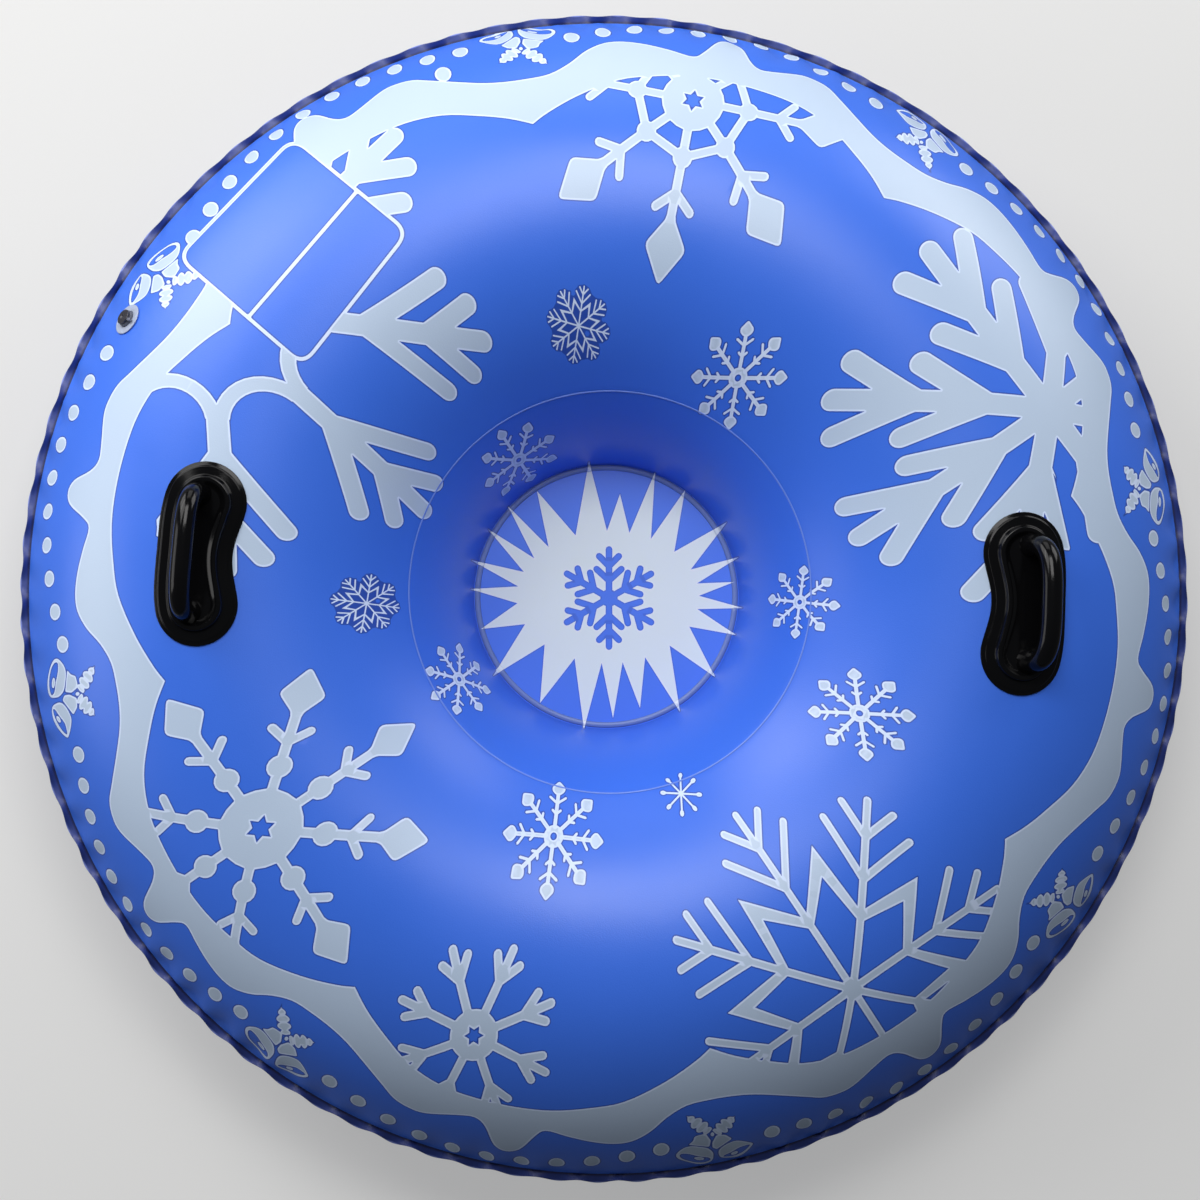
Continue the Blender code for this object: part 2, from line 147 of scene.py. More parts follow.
# %% The flat chart of the skin
FOOT = FLOOR_RADIUS
CREST = FOOT + TOP_INNER.length
EDGE = CREST + TOP_OUTER.length
SEAM_RADIUS = (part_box("well_seam_weld")[1].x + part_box("well_sheet")[1].x) / 2
SEAM_REACH = CREST - TOP_INNER.radius * TOP_INNER.turn_at(SEAM_RADIUS)
FOLD_LIFT = 2.0 * MM
FOLD_REACH = 16 * MM


def profile(reach, lift=0):
    """The (radius, height) on the skin at a distance along the sheet from the middle of the seat."""
    lift += FOLD_LIFT * math.exp(-abs(reach - SEAM_REACH) / FOLD_REACH)
    if reach <= FOOT:
        return reach, FLOOR_HEIGHT + lift
    if reach <= CREST:
        return TOP_INNER.point((CREST - reach) / TOP_INNER.radius, lift)
    return TOP_OUTER.point((reach - CREST) / TOP_OUTER.radius, lift)


def reach_at(radius):
    """The distance along the sheet of the place that lies over a radius of the plan."""
    if radius <= FOOT:
        return radius
    if radius <= CREST_RADIUS:
        return CREST - TOP_INNER.radius * TOP_INNER.turn_at(radius)
    return CREST + TOP_OUTER.radius * TOP_OUTER.turn_at(radius)


def on_skin(spot, lift=0):
    """The place in the frame of a spot of the flat chart, which is a complex number."""
    reach = abs(spot)
    radius, height = profile(reach, lift)
    share = radius / reach if reach else 0
    return Vector((spot.real * share, spot.imag * share, height))


def chart_spot(x, y):
    """The spot of the flat chart under a point of the plan."""
    radius = math.hypot(x, y)
    return complex(x, y) * reach_at(radius) / radius


def off_plan(x, y, lift):
    """The place at a distance off the skin, over a point of the plan."""
    return on_skin(chart_spot(x, y), lift)


print("sheet from the middle to the rim", round(EDGE, 4), "m, crest at", round(CREST, 4), "m")

# %% [markdown]
# The photograph looks almost straight down the tube's axis, from a few metres away, and a little to the left
# and below. The camera's place comes from how the near crest slides over the far rim. Knowing it, any pixel
# of the photograph can be turned into the spot of the skin that it shows, so the print finds its places.

# %% The camera
IMAGE_SIZE = 1200
SENSOR_WIDTH = 36
MIDDLE_PIXEL = 608.3 + 594.1j
PIXELS_PER_METRE = 1055.5
CAMERA_DISTANCE = 2.5
LEAN_LEFT = math.radians(1.9)
LEAN_DOWN = math.radians(2.1)


def add_object(name, data):
    """A new object of the data, in the scene."""
    made = bpy.data.objects.new(name, data)
    bpy.context.scene.collection.objects.link(made)
    return made


aim = Vector((0, 0, WELD_HEIGHT))
to_camera = Vector((-math.tan(LEAN_LEFT), -math.tan(LEAN_DOWN), 1)).normalized()
camera_place = aim + to_camera * CAMERA_DISTANCE
picture_right = Vector((to_camera.z, 0, -to_camera.x)).normalized()
picture_up = to_camera.cross(picture_right)
focal_pixels = PIXELS_PER_METRE * CAMERA_DISTANCE

camera_data = bpy.data.cameras.new("photo_camera")
camera_data.sensor_width = SENSOR_WIDTH
camera_data.lens = focal_pixels * SENSOR_WIDTH / IMAGE_SIZE
camera_data.shift_x = (IMAGE_SIZE / 2 - MIDDLE_PIXEL.real) / IMAGE_SIZE
camera_data.shift_y = (MIDDLE_PIXEL.imag - IMAGE_SIZE / 2) / IMAGE_SIZE
camera = add_object("photo_camera", camera_data)
camera.matrix_world = Matrix((picture_right, picture_up, to_camera)).transposed().to_4x4()
camera.matrix_world.translation = camera_place
bpy.context.scene.camera = camera
bpy.context.scene.view_settings.view_transform = "Standard"
print("lens", round(camera_data.lens, 1), "mm, camera at", short(camera_place))

# %% From a pixel to a spot of the flat chart
SEARCH_STEPS = 40


def seen_at(pixel):
    """The spot of the flat chart that a pixel shows. The pixel is x + y j from the upper left corner."""
    across = (pixel.real - MIDDLE_PIXEL.real) / focal_pixels
    up = (MIDDLE_PIXEL.imag - pixel.imag) / focal_pixels
    ray = picture_right * across + picture_up * up - to_camera
    height = crest.z
    for _ in range(SEARCH_STEPS):
        place = camera_place + ray * ((height - camera_place.z) / ray.z)
        reach = reach_at(min(radius_of(place), WELD_RADIUS))
        height = (height + profile(reach)[1]) / 2
    return complex(place.x, place.y) * reach / radius_of(place)


print("middle of the seat is seen at", seen_at(607 + 598j))

# %% [markdown]
# Node trees are long to write by hand, so a few helpers make a node and fill its sockets: with a link where
# the value is another node's output, and with the plain value where it isn't. A new group's sockets take
# their types from the values that they start with.

# %% Helpers for node trees
SOCKET_TYPES = {int: "NodeSocketInt", float: "NodeSocketFloat", tuple: "NodeSocketColor"}
MIX_SHARE = 0
FIRST_VALUE = 2
SECOND_VALUE = 3
FIRST_COLOUR = 6
SECOND_COLOUR = 7


def fill(tree, socket, value):
    """Links a socket to another node's output, or gives it a plain value."""
    if isinstance(value, bpy.types.NodeSocket):
        tree.links.new(value, socket)
    else:
        socket.default_value = value


def fill_all(tree, sockets, values):
    for key, value in values.items():
        fill(tree, sockets[key], value)


def add_node(tree, kind, inputs=None, **settings):
    """A node of a kind, with its settings and its inputs by name or by number."""
    made = tree.nodes.new(kind)
    for name, value in settings.items():
        setattr(made, name, value)
    fill_all(tree, made.inputs, inputs or {})
    return made


def calculate(tree, operation, *values):
    """A Math node's result, in a shader tree or a geometry tree."""
    return add_node(tree, "ShaderNodeMath", dict(enumerate(values)), operation=operation).outputs[0]


def mix_colours(tree, share, first, second, blend="MIX"):
    """A Mix node's colour, from a share and two colours."""
    values = {MIX_SHARE: share, FIRST_COLOUR: first, SECOND_COLOUR: second}
    return add_node(tree, "ShaderNodeMix", values, data_type="RGBA", blend_type=blend).outputs[2]


def camera_rays(tree):
    """A mask of the rays that come straight from the camera."""
    return add_node(tree, "ShaderNodeLightPath").outputs["Is Camera Ray"]


def opaque(colour):
    return (*colour, 1)


def new_group(name, kind, inputs, outputs):
    """An empty node group. An input is given by its value, or by its socket type where it has no value."""
    group = bpy.data.node_groups.new(name, kind)
    for title, value in inputs.items():
        plain = type(value) in SOCKET_TYPES
        socket_type = SOCKET_TYPES[type(value)] if plain else value
        socket = group.interface.new_socket(title, in_out="INPUT", socket_type=socket_type)
        if plain:
            socket.default_value = value
    for title, socket_type in outputs.items():
        group.interface.new_socket(title, in_out="OUTPUT", socket_type=socket_type)
    entry = group.nodes.new("NodeGroupInput")
    leave = group.nodes.new("NodeGroupOutput")
    return group, entry.outputs, leave.inputs


def new_material(name, base, roughness):
    """A material with its plain colour and roughness on the shader's own sockets."""
    made = bpy.data.materials.new(name)
    made.use_nodes = True
    tree = made.node_tree
    shader = tree.nodes["Principled BSDF"]
    fill_all(tree, shader.inputs, {"Base Color": opaque(base), "Roughness": roughness})
    return made, tree, shader


# %% [markdown]
# Soft daylight falls from the top and the left of the photograph. Two wide lamps stand high, four stand low
# and light the steep outer slopes, and the sky fills the rest. Their powers were fitted to how bright the
# blue ground and the white print are round the tube. The camera alone sees a brighter sky and a floor that
# glows a little, so the backdrop is pale, while it throws little light back onto the tube.

# %% Light and floor
SKY_COLOUR = (0.86, 0.91, 1.0)
SKY_STRENGTH = 0.12
LAMP_DISTANCE = 3.0
LAMP_SIDE = 1.5
LAMP_AIM = Vector((0, 0, 0.15))
LAMP_COLOUR = (1.0, 0.99, 0.98)
LAMPS = [(60, 90, 48), (35, 135, 32), (12, 45, 30), (12, 90, 12), (12, 135, 28), (12, 180, 18)]
BACKDROP_STRENGTH = 0.8
FLOOR_COLOUR = (0.42, 0.42, 0.41)
FLOOR_BOUNCE = (0.16, 0.16, 0.15)
FLOOR_GLOW = (0.34, 0.34, 0.34)
FLOOR_ROUGHNESS = 0.9
FLOOR_HALF = 6.0
FLOOR_DROP = 0.2 * MM
SQUARE = [(-1, -1), (1, -1), (1, 1), (-1, 1)]


def add_lamp(elevation, azimuth, power):
    """A soft square lamp that faces the tube from a direction, given in degrees."""
    data = bpy.data.lights.new("daylight", "AREA")
    data.size = LAMP_SIDE
    data.energy = power
    data.color = LAMP_COLOUR
    up = math.radians(elevation)
    round_by = math.radians(azimuth)
    way = Vector((math.cos(up) * math.cos(round_by), math.cos(up) * math.sin(round_by), math.sin(up)))
    lamp = add_object("daylight", data)
    lamp.matrix_world = way.to_track_quat("Z", "Y").to_matrix().to_4x4()
    lamp.matrix_world.translation = LAMP_AIM + way * LAMP_DISTANCE


for elevation, azimuth, power in LAMPS:
    add_lamp(elevation, azimuth, power)

world = bpy.data.worlds.new("soft_sky")
world.use_nodes = True
sky = world.node_tree
strengths = {MIX_SHARE: camera_rays(sky), FIRST_VALUE: SKY_STRENGTH, SECOND_VALUE: BACKDROP_STRENGTH}
sky_strength = add_node(sky, "ShaderNodeMix", strengths).outputs[0]
fill_all(sky, sky.nodes["Background"].inputs, {"Color": opaque(SKY_COLOUR), "Strength": sky_strength})
bpy.context.scene.world = world

floor_mesh = bpy.data.meshes.new("pale_floor")
floor_corners = [(x * FLOOR_HALF, y * FLOOR_HALF, -FLOOR_DROP) for x, y in SQUARE]
floor_mesh.from_pydata(floor_corners, [], [(0, 1, 2, 3)])
floor_paint, paint, floor_shader = new_material("pale_floor_paint", FLOOR_COLOUR, FLOOR_ROUGHNESS)
floor_base = mix_colours(paint, camera_rays(paint), opaque(FLOOR_BOUNCE), opaque(FLOOR_COLOUR))
floor_glow = mix_colours(paint, camera_rays(paint), (0, 0, 0, 1), opaque(FLOOR_GLOW))
floor_looks = {"Base Color": floor_base, "Emission Color": floor_glow, "Emission Strength": 1}
fill_all(paint, floor_shader.inputs, floor_looks)
floor_mesh.materials.append(floor_paint)
floor = add_object("pale_floor", floor_mesh)
print("lamps", len(LAMPS), "with", sum(power for *_, power in LAMPS), "watts")

# %% [markdown]
# All of the vinyl has the same fine calendered grain: shallow dimples under a millimetre across, and a slow
# unevenness in tone and gloss where the sheet is stretched. It is one shader group, placed in each vinyl
# material with its own values.

# %% The vinyl grain group
MIDDLE_GREY = (0.5, 0.5, 0.5, 1)
SLOW_SCALE = 9.0
FINE_SCALE = 900.0
GRAIN_DEPTH = 0.4 * MM
GLOSS_SWING = 0.16

grain, grain_in, grain_out = new_group(
    "vinyl_grain",
    "ShaderNodeTree",
    {"Colour": MIDDLE_GREY, "Shade Share": 0.08, "Roughness": 0.4, "Grain Height": 0.05},
    {"Colour": "NodeSocketColor", "Roughness": "NodeSocketFloat", "Normal": "NodeSocketVector"},
)
grain_place = add_node(grain, "ShaderNodeTexCoord").outputs["Object"]


def grain_noise(scale, detail):
    values = {"Vector": grain_place, "Scale": scale, "Detail": detail}
    return add_node(grain, "ShaderNodeTexNoise", values).outputs["Fac"]


slow_shift = calculate(grain, "SUBTRACT", grain_noise(SLOW_SCALE, 3.0), 0.5)
darker = calculate(grain, "MULTIPLY_ADD", slow_shift, grain_in["Shade Share"], 1.0)
grey = add_node(grain, "ShaderNodeCombineColor", dict.fromkeys(range(3), darker)).outputs[0]
fill(grain, grain_out["Colour"], mix_colours(grain, 1.0, grain_in["Colour"], grey, "MULTIPLY"))
roughened = calculate(grain, "MULTIPLY_ADD", slow_shift, GLOSS_SWING, grain_in["Roughness"])
fill(grain, grain_out["Roughness"], roughened)
dimples = {"Height": grain_noise(FINE_SCALE, 2.0), "Distance": GRAIN_DEPTH}
bump = add_node(grain, "ShaderNodeBump", dimples | {"Strength": grain_in["Grain Height"]})
fill(grain, grain_out["Normal"], bump.outputs[0])


def vinyl(name, colour, roughness, shade_share=0.08, grain_height=0.25):
    """A vinyl material that takes its colour, roughness and normal from the grain group."""
    made, tree, shader = new_material(name, colour, roughness)
    values = {"Colour": opaque(colour), "Shade Share": shade_share, "Roughness": roughness}
    group = add_node(tree, "ShaderNodeGroup", values | {"Grain Height": grain_height}, node_tree=grain)
    for socket, output in (("Base Color", "Colour"), ("Roughness", "Roughness"), ("Normal", "Normal")):
        fill(tree, shader.inputs[socket], group.outputs[output])
    return made, tree, shader, group


# %% [markdown]
# The press leaves a fine outline where ink meets bare vinyl: the ink piles up into a brighter line, and the
# ground just beside it is darker. The skin's mesh carries the distance from the nearest edge of the print,
# and this group mixes a line colour in where that distance is small. The rim weld is coloured across its
# band instead, with painted light: painted shade in the fold beside the skin, a painted highlight at its
# edge.

# %% The outline group and the vinyl colours
FULL_LINE_SHARE = 0.6
BLUE = (0.041, 0.158, 0.760)
WHITE = (0.475, 0.590, 0.760)
BLUE_LINE = (0.020, 0.074, 0.430)
WHITE_LINE = (0.64, 0.75, 0.97)
UNDER_BLUE = (0.026, 0.070, 0.420)
# The seat's sheet is a more cyan blue of its own. These seat colours also carry painted light: the seat's
# sheet, its ink and their outlines are painted brighter to make up for the shade of the well's walls.
SEAT_SHEET_WITH_PAINTED_LIGHT = (0.085, 0.232, 0.950)
SEAT_INK_WITH_PAINTED_LIGHT = (0.860, 0.950, 0.970)
SEAT_OUTLINE_WITH_PAINTED_LIGHT = (0.070, 0.185, 0.800)
SEAT_INK_OUTLINE_WITH_PAINTED_LIGHT = (0.900, 0.960, 1.0)
SEAM_BLUE = (0.150, 0.260, 0.760)
WELD_BLUE = (0.170, 0.250, 0.560)
# Painted shade for the rim weld's fold beside the skin, and a painted highlight for its free edge.
RIM_FOLD_PAINTED_SHADE = (0.006, 0.010, 0.070)
RIM_BLUE = (0.016, 0.036, 0.200)
RIM_PAINTED_HIGHLIGHT = (0.170, 0.230, 0.620)
RIM_PAINTED_LIGHT_STOPS = [(0.12, RIM_FOLD_PAINTED_SHADE), (0.32, RIM_BLUE), (0.8, RIM_BLUE), (0.93, RIM_PAINTED_HIGHLIGHT)]

outline, outline_in, outline_out = new_group(
    "print_outline",
    "ShaderNodeTree",
    {"Colour": MIDDLE_GREY, "Line Colour": MIDDLE_GREY, "Line Width": MM},
    {"Colour": "NodeSocketColor"},
)
distance = add_node(outline, "ShaderNodeAttribute", attribute_name="edge_distance").outputs["Fac"]
full_at = calculate(outline, "MULTIPLY", outline_in["Line Width"], FULL_LINE_SHARE)
line_range = {"Value": distance, "From Min": outline_in["Line Width"], "From Max": full_at}
in_line = add_node(outline, "ShaderNodeMapRange", line_range).outputs[0]
lined = mix_colours(outline, in_line, outline_in["Colour"], outline_in["Line Colour"])
fill(outline, outline_out["Colour"], lined)


def printed_vinyl(name, colour, roughness, line_colour, line_width, **grain_values):
    """A vinyl material with the outline group in front of its grain. The line's width is in millimetres."""
    made, tree, _, group = vinyl(name, colour, roughness, **grain_values)
    values = {"Colour": opaque(colour), "Line Colour": opaque(line_colour), "Line Width": line_width * MM}
    line = add_node(tree, "ShaderNodeGroup", values, node_tree=outline)
    fill(tree, group.inputs["Colour"], line.outputs["Colour"])
    return made


BARE_ROUGHNESS = 0.36
INK_ROUGHNESS = 0.42
INK_LINE = 2.1
INK_SHADE_SHARE = 0.05
blue_vinyl = printed_vinyl("blue_vinyl", BLUE, BARE_ROUGHNESS, BLUE_LINE, line_width=1.4)
# The seat's vinyl and ink are brighter copies of the skin's, with painted light against the well's shade.
seat_painted_light_vinyl = printed_vinyl("seat_painted_light_vinyl", SEAT_SHEET_WITH_PAINTED_LIGHT, BARE_ROUGHNESS, SEAT_OUTLINE_WITH_PAINTED_LIGHT, line_width=1.3)
inks = []
for name, ink, line in (("white_print", WHITE, WHITE_LINE), ("seat_painted_light_print", SEAT_INK_WITH_PAINTED_LIGHT, SEAT_INK_OUTLINE_WITH_PAINTED_LIGHT)):
    inks.append(printed_vinyl(name, ink, INK_ROUGHNESS, line, INK_LINE, shade_share=INK_SHADE_SHARE))
white_print, seat_painted_light_print = inks
under_vinyl, *_ = vinyl("under_vinyl", UNDER_BLUE, roughness=0.42)
seam_vinyl, *_ = vinyl("seam_vinyl", SEAM_BLUE, roughness=0.3)
weld_vinyl, *_ = vinyl("weld_vinyl", WELD_BLUE, roughness=0.4)

rim_vinyl, shading, _, rim_group = vinyl("rim_vinyl", RIM_BLUE, roughness=0.45, shade_share=0.3)
rim_place = add_node(shading, "ShaderNodeTexCoord").outputs["Object"]
levelling = {0: rim_place, 1: (1, 1, 0)}
level = add_node(shading, "ShaderNodeVectorMath", levelling, operation="MULTIPLY").outputs[0]
rim_radius = add_node(shading, "ShaderNodeVectorMath", {0: level}, operation="LENGTH").outputs["Value"]
band_range = {"Value": rim_radius, "From Min": WELD_RADIUS, "From Max": RIM_REACH}
across_rim = add_node(shading, "ShaderNodeMapRange", band_range).outputs[0]
# This ramp paints shade into the fold beside the skin and a highlight along the rim's free edge.
rim_painted_light_ramp = add_node(shading, "ShaderNodeValToRGB", {0: across_rim})
stops = rim_painted_light_ramp.color_ramp.elements
for index, (position, colour) in enumerate(RIM_PAINTED_LIGHT_STOPS):
    stop = stops[index] if index < len(stops) else stops.new(position)
    stop.position = position
    stop.color = opaque(colour)
fill(shading, rim_group.inputs["Colour"], rim_painted_light_ramp.outputs["Color"])
print("vinyl materials", [made.name for made in bpy.data.materials if made.name.endswith(("vinyl", "print"))])

# %% [markdown]
# Most of the other pieces are round: welds, the bottom sheet and the valve. One Geometry Nodes tree turns any
# section about an upright axis. A grid has a row for each corner of the section and a column for each step
# round; each grid point reads its corner from the section and is turned by its own angle.

# %% The turning tree
MERGE_DISTANCE = 0.01 * MM


def add_turning(tree, section, sides):
    """The mesh of a section, given as its corners in order, turned about Z."""
    compute = partial(calculate, tree)
    count = add_node(tree, "GeometryNodeAttributeDomainSize", {0: section}).outputs["Point Count"]
    columns = compute("ADD", sides, 1)
    grid = add_node(tree, "GeometryNodeMeshGrid", {"Vertices X": count, "Vertices Y": columns})
    index = add_node(tree, "GeometryNodeInputIndex").outputs[0]
    row = compute("FLOOR", compute("DIVIDE", index, columns))
    column = compute("SUBTRACT", index, compute("MULTIPLY", row, columns))
    angle = compute("DIVIDE", compute("MULTIPLY", column, math.tau), sides)
    place = add_node(tree, "GeometryNodeInputPosition").outputs[0]
    corner = add_node(tree, "GeometryNodeSampleIndex", data_type="FLOAT_VECTOR")
    fill_all(tree, corner.inputs, {"Geometry": section, "Value": place, "Index": row})
    turned = add_node(tree, "ShaderNodeVectorRotate", rotation_type="Z_AXIS")
    fill_all(tree, turned.inputs, {"Vector": corner.outputs[0], "Angle": angle})
    moved = {"Geometry": grid.outputs["Mesh"], "Position": turned.outputs[0]}
    return add_node(tree, "GeometryNodeSetPosition", moved).outputs[0]


def end_tree(tree, mesh, finish, leave):
    """Closes the seam, then realizes the instances and sets the material."""
    merge = {"Geometry": mesh, "Distance": MERGE_DISTANCE}
    merged = add_node(tree, "GeometryNodeMergeByDistance", merge).outputs[0]
    real = add_node(tree, "GeometryNodeRealizeInstances", {"Geometry": merged}).outputs[0]
    done = add_node(tree, "GeometryNodeSetMaterial", {"Geometry": real, "Material": finish}).outputs[0]
    fill(tree, leave["Geometry"], done)


TURNING_INPUTS = {"Section": "NodeSocketGeometry", "Sides": 64, "Finish": "NodeSocketMaterial"}
TURNED_OUTPUT = {"Geometry": "NodeSocketGeometry"}
turning, turning_in, turning_out = new_group(
    "turn_a_section", "GeometryNodeTree", TURNING_INPUTS, TURNED_OUTPUT
)
turned_mesh = add_turning(turning, turning_in["Section"], turning_in["Sides"])
end_tree(turning, turned_mesh, turning_in["Finish"], turning_out)
print("turning tree", len(turning.nodes), "nodes")


# %% Running a tree and keeping its mesh
SHARP_DEGREES = 35


def face_outwards(data, hint=None):
    """Turns the faces outwards. In an open sheet, the furthest face along the hint looks along it."""
    mesh = bmesh.new()
    mesh.from_mesh(data)
    bmesh.ops.recalc_face_normals(mesh, faces=mesh.faces)
    if hint is not None:
        furthest = max(mesh.faces, key=lambda face: face.calc_center_median().dot(hint))
        if furthest.normal.dot(hint) < 0:
            bmesh.ops.reverse_faces(mesh, faces=mesh.faces)
    mesh.to_mesh(data)
    mesh.free()


def shade(data, sharp=SHARP_DEGREES):
    """Smooth shading that breaks at edges sharper than an angle in degrees."""
    data.shade_smooth()
    data.set_sharp_from_angle(angle=math.radians(sharp))


def made_by_tree(name, tree, section, values, hint=None, place=None):
    """The plain mesh that a tree makes from a line of (radius, height) corners, moved to its place."""
    line = bpy.data.meshes.new(name + "_line")
    corners = [(radius, 0, height) for radius, height in section]
    line.from_pydata(corners, [(k, k + 1) for k in range(len(corners) - 1)], [])
    made = add_object(name, line)
    step = made.modifiers.new("tree", "NODES")
    step.node_group = tree
    sockets = {item.name: item.identifier for item in tree.interface.items_tree if item.in_out == "INPUT"}
    for title, value in values.items():
        step[sockets[title]] = value
    graph = bpy.context.evaluated_depsgraph_get()
    data = bpy.data.meshes.new_from_object(made.evaluated_get(graph))
    made.modifiers.remove(step)
    made.data = data
    bpy.data.meshes.remove(line)
    data.name = name
    face_outwards(data, hint)
    if place is not None:
        data.transform(place)
    shade(data)
    print(name, len(data.polygons), "faces")
    return made


def turned_piece(name, section, sides, finish, hint=None, place=None):
    """A round piece from a section of (radius, height) corners."""
    return made_by_tree(name, turning, section, {"Sides": sides, "Finish": finish}, hint, place)


def arc(centre, radius, first, last, steps):
    """Points on a circle from one angle to another, in degrees."""
    turns = [math.radians(first + (last - first) * k / steps) for k in range(steps + 1)]
    return [(centre[0] + radius * math.cos(turn), centre[1] + radius * math.sin(turn)) for turn in turns]


# %% [markdown]
# The bottom sheet is plain and a little darker than the print's ground. It bows in from the rim weld to the
# ground, and from the ground up to the seat floor, where it lies under the well sheet.

# %% The bottom sheet
ROUND_SIDES = 256
BOW_STEPS = 28


def bow_points(bow, first, last, steps, lift=0):
    return [bow.point(first + (last - first) * k / steps, lift) for k in range(steps + 1)]


under_line = [(0, UNDER_FLOOR_HEIGHT), (FLOOR_RADIUS / 2, UNDER_FLOOR_HEIGHT)]
under_line += bow_points(UNDER_INNER, UNDER_INNER.turn, 0, BOW_STEPS)
under_line += bow_points(UNDER_OUTER, 0, UNDER_OUTER.turn, BOW_STEPS)
under_skin = turned_piece("under_skin", under_line, ROUND_SIDES, under_vinyl, -UP)

# %% [markdown]
# The rim weld is a narrow band that stands out past the skin. Blowing the tube up draws the two round sheets
# in, so the band has more length than room and stands in puckers, deepest at its free edge. The tree turns a
# thin section with a rounded edge. Then a wave that grows towards the edge moves each point up or down, and
# draws it in once for each pucker, so the edge is wavy from above too.

# %% The rim weld
PUCKERS = 88
RIM_THICKNESS = 2 * SHEET_END
RIM_OVERLAP = 1.5 * MM
EDGE_WAVE = 4.2 * MM
EDGE_DRAW = 3.4 * MM
UNEVEN_SHARE = 0.35
UNEVEN_SCALE = 11.0
UNEVEN_SWING = 4.0
SIDES_IN_PUCKER = 12
RIM_ROWS = 6

RIM_SIZES = {
    "Weld Radius": WELD_RADIUS,
    "Band Width": RIM_REACH - WELD_RADIUS,
    "Puckers": PUCKERS,
    "Wave Height": EDGE_WAVE,
    "Draw In": EDGE_DRAW,
    "Uneven Share": UNEVEN_SHARE,
}
rim_tree, rim_in, rim_out = new_group(
    "puckered_weld", "GeometryNodeTree", TURNING_INPUTS | RIM_SIZES, TURNED_OUTPUT
)
compute = partial(calculate, rim_tree)
band = add_turning(rim_tree, rim_in["Section"], rim_in["Sides"])
band_place = add_node(rim_tree, "GeometryNodeInputPosition").outputs[0]
band_x, band_y, _ = add_node(rim_tree, "ShaderNodeSeparateXYZ", {0: band_place}).outputs
squares = compute("ADD", compute("MULTIPLY", band_x, band_x), compute("MULTIPLY", band_y, band_y))
out_by = compute("SUBTRACT", compute("SQRT", squares), rim_in["Weld Radius"])
growth = compute("MAXIMUM", compute("DIVIDE", out_by, rim_in["Band Width"]), 0)
band_angle = compute("ARCTAN2", band_y, band_x)
phase = compute("MULTIPLY", band_angle, rim_in["Puckers"])
wobble = add_node(rim_tree, "ShaderNodeTexNoise", {"Scale": UNEVEN_SCALE, "Detail": 1.0}).outputs[0]
uneven = compute("MULTIPLY", compute("SUBTRACT", wobble, 0.5), UNEVEN_SWING)
shifted_phase = compute("MULTIPLY_ADD", uneven, rim_in["Uneven Share"], phase)
height_share = compute("MULTIPLY_ADD", uneven, rim_in["Uneven Share"], 1.0)
wave = compute("MULTIPLY", compute("SINE", shifted_phase), height_share)
rise = compute("MULTIPLY", compute("MULTIPLY", wave, rim_in["Wave Height"]), growth)
pull = compute("MULTIPLY", compute("MULTIPLY_ADD", wave, 0.5, 0.5), rim_in["Draw In"])
pull = compute("MULTIPLY", compute("MULTIPLY", pull, growth), -1)
along = [compute("MULTIPLY", compute(part, band_angle), pull) for part in ("COSINE", "SINE")]
shift = add_node(rim_tree, "ShaderNodeCombineXYZ", dict(enumerate((*along, rise)))).outputs[0]
waved = add_node(rim_tree, "GeometryNodeSetPosition", {"Geometry": band, "Offset": shift}).outputs[0]
end_tree(rim_tree, waved, rim_in["Finish"], rim_out)

rim_start = WELD_RADIUS - RIM_OVERLAP
rim_half = RIM_THICKNESS / 2
rim_end = RIM_REACH - rim_half
rim_radii = [rim_start + (rim_end - rim_start) * k / RIM_ROWS for k in range(RIM_ROWS)]
rim_section = [(radius, WELD_HEIGHT + rim_half) for radius in rim_radii]
rim_section += arc((rim_end, WELD_HEIGHT), rim_half, 90, -90, RIM_ROWS)
rim_section += [(radius, 2 * WELD_HEIGHT - height) for radius, height in reversed(rim_section[:RIM_ROWS])]
rim_section.append(rim_section[0])
rim_values = RIM_SIZES | {"Sides": PUCKERS * SIDES_IN_PUCKER, "Finish": rim_vinyl}
rim_band = made_by_tree("rim_band", rim_tree, rim_section, rim_values)

# %% [markdown]
# Inside the crest, a fine weld joins the printed sheet to the dished sheet of the well. It is a low bead, so
# a shallow rounded section is turned for it. The broad weld round the seat floor carries print, so it is
# made later.

# %% The weld in the well
SEAM_HALF = 0.9 * MM
SEAM_PROUD = 0.35 * MM
BEAD_STEPS = 8


def bead_section(middle, half, proud):
    """A low rounded bead on the skin, closed along its underside."""
    line = []
    for k in range(BEAD_STEPS + 1):
        turn = math.pi * k / BEAD_STEPS
        line.append(profile(middle - half * math.cos(turn), proud * math.sin(turn)))
    return line + [profile(middle, -proud), line[0]]


seam_section = bead_section(SEAM_REACH, SEAM_HALF, SEAM_PROUD)
seam_bead = turned_piece("seam_bead", seam_section, ROUND_SIDES, seam_vinyl)

# %% [markdown]
# Each grab handle is moulded in one piece: a bean-shaped base that follows the tube, with a thin welded
# flange, a raised lip, a finger dish, and a tubular bar over the dish that leans to the outer side. The base
# is a loft of bean outlines, each a step further in. The bar is a round section along a flat-topped arch.

# %% The outline of a handle
HANDLE_RADIUS = CREST_RADIUS + 26 * MM
HANDLE_ANGLES = {"right_handle": math.radians(-2.0), "left_handle": math.radians(175.2)}
SPINE_LENGTH = 92 * MM
SPINE_BEND_RADIUS = 190 * MM
BASE_HALF_WIDTH = 37.5 * MM
WAIST_DIP = 3.0 * MM
SIDE_STEPS = 28
END_STEPS = 24


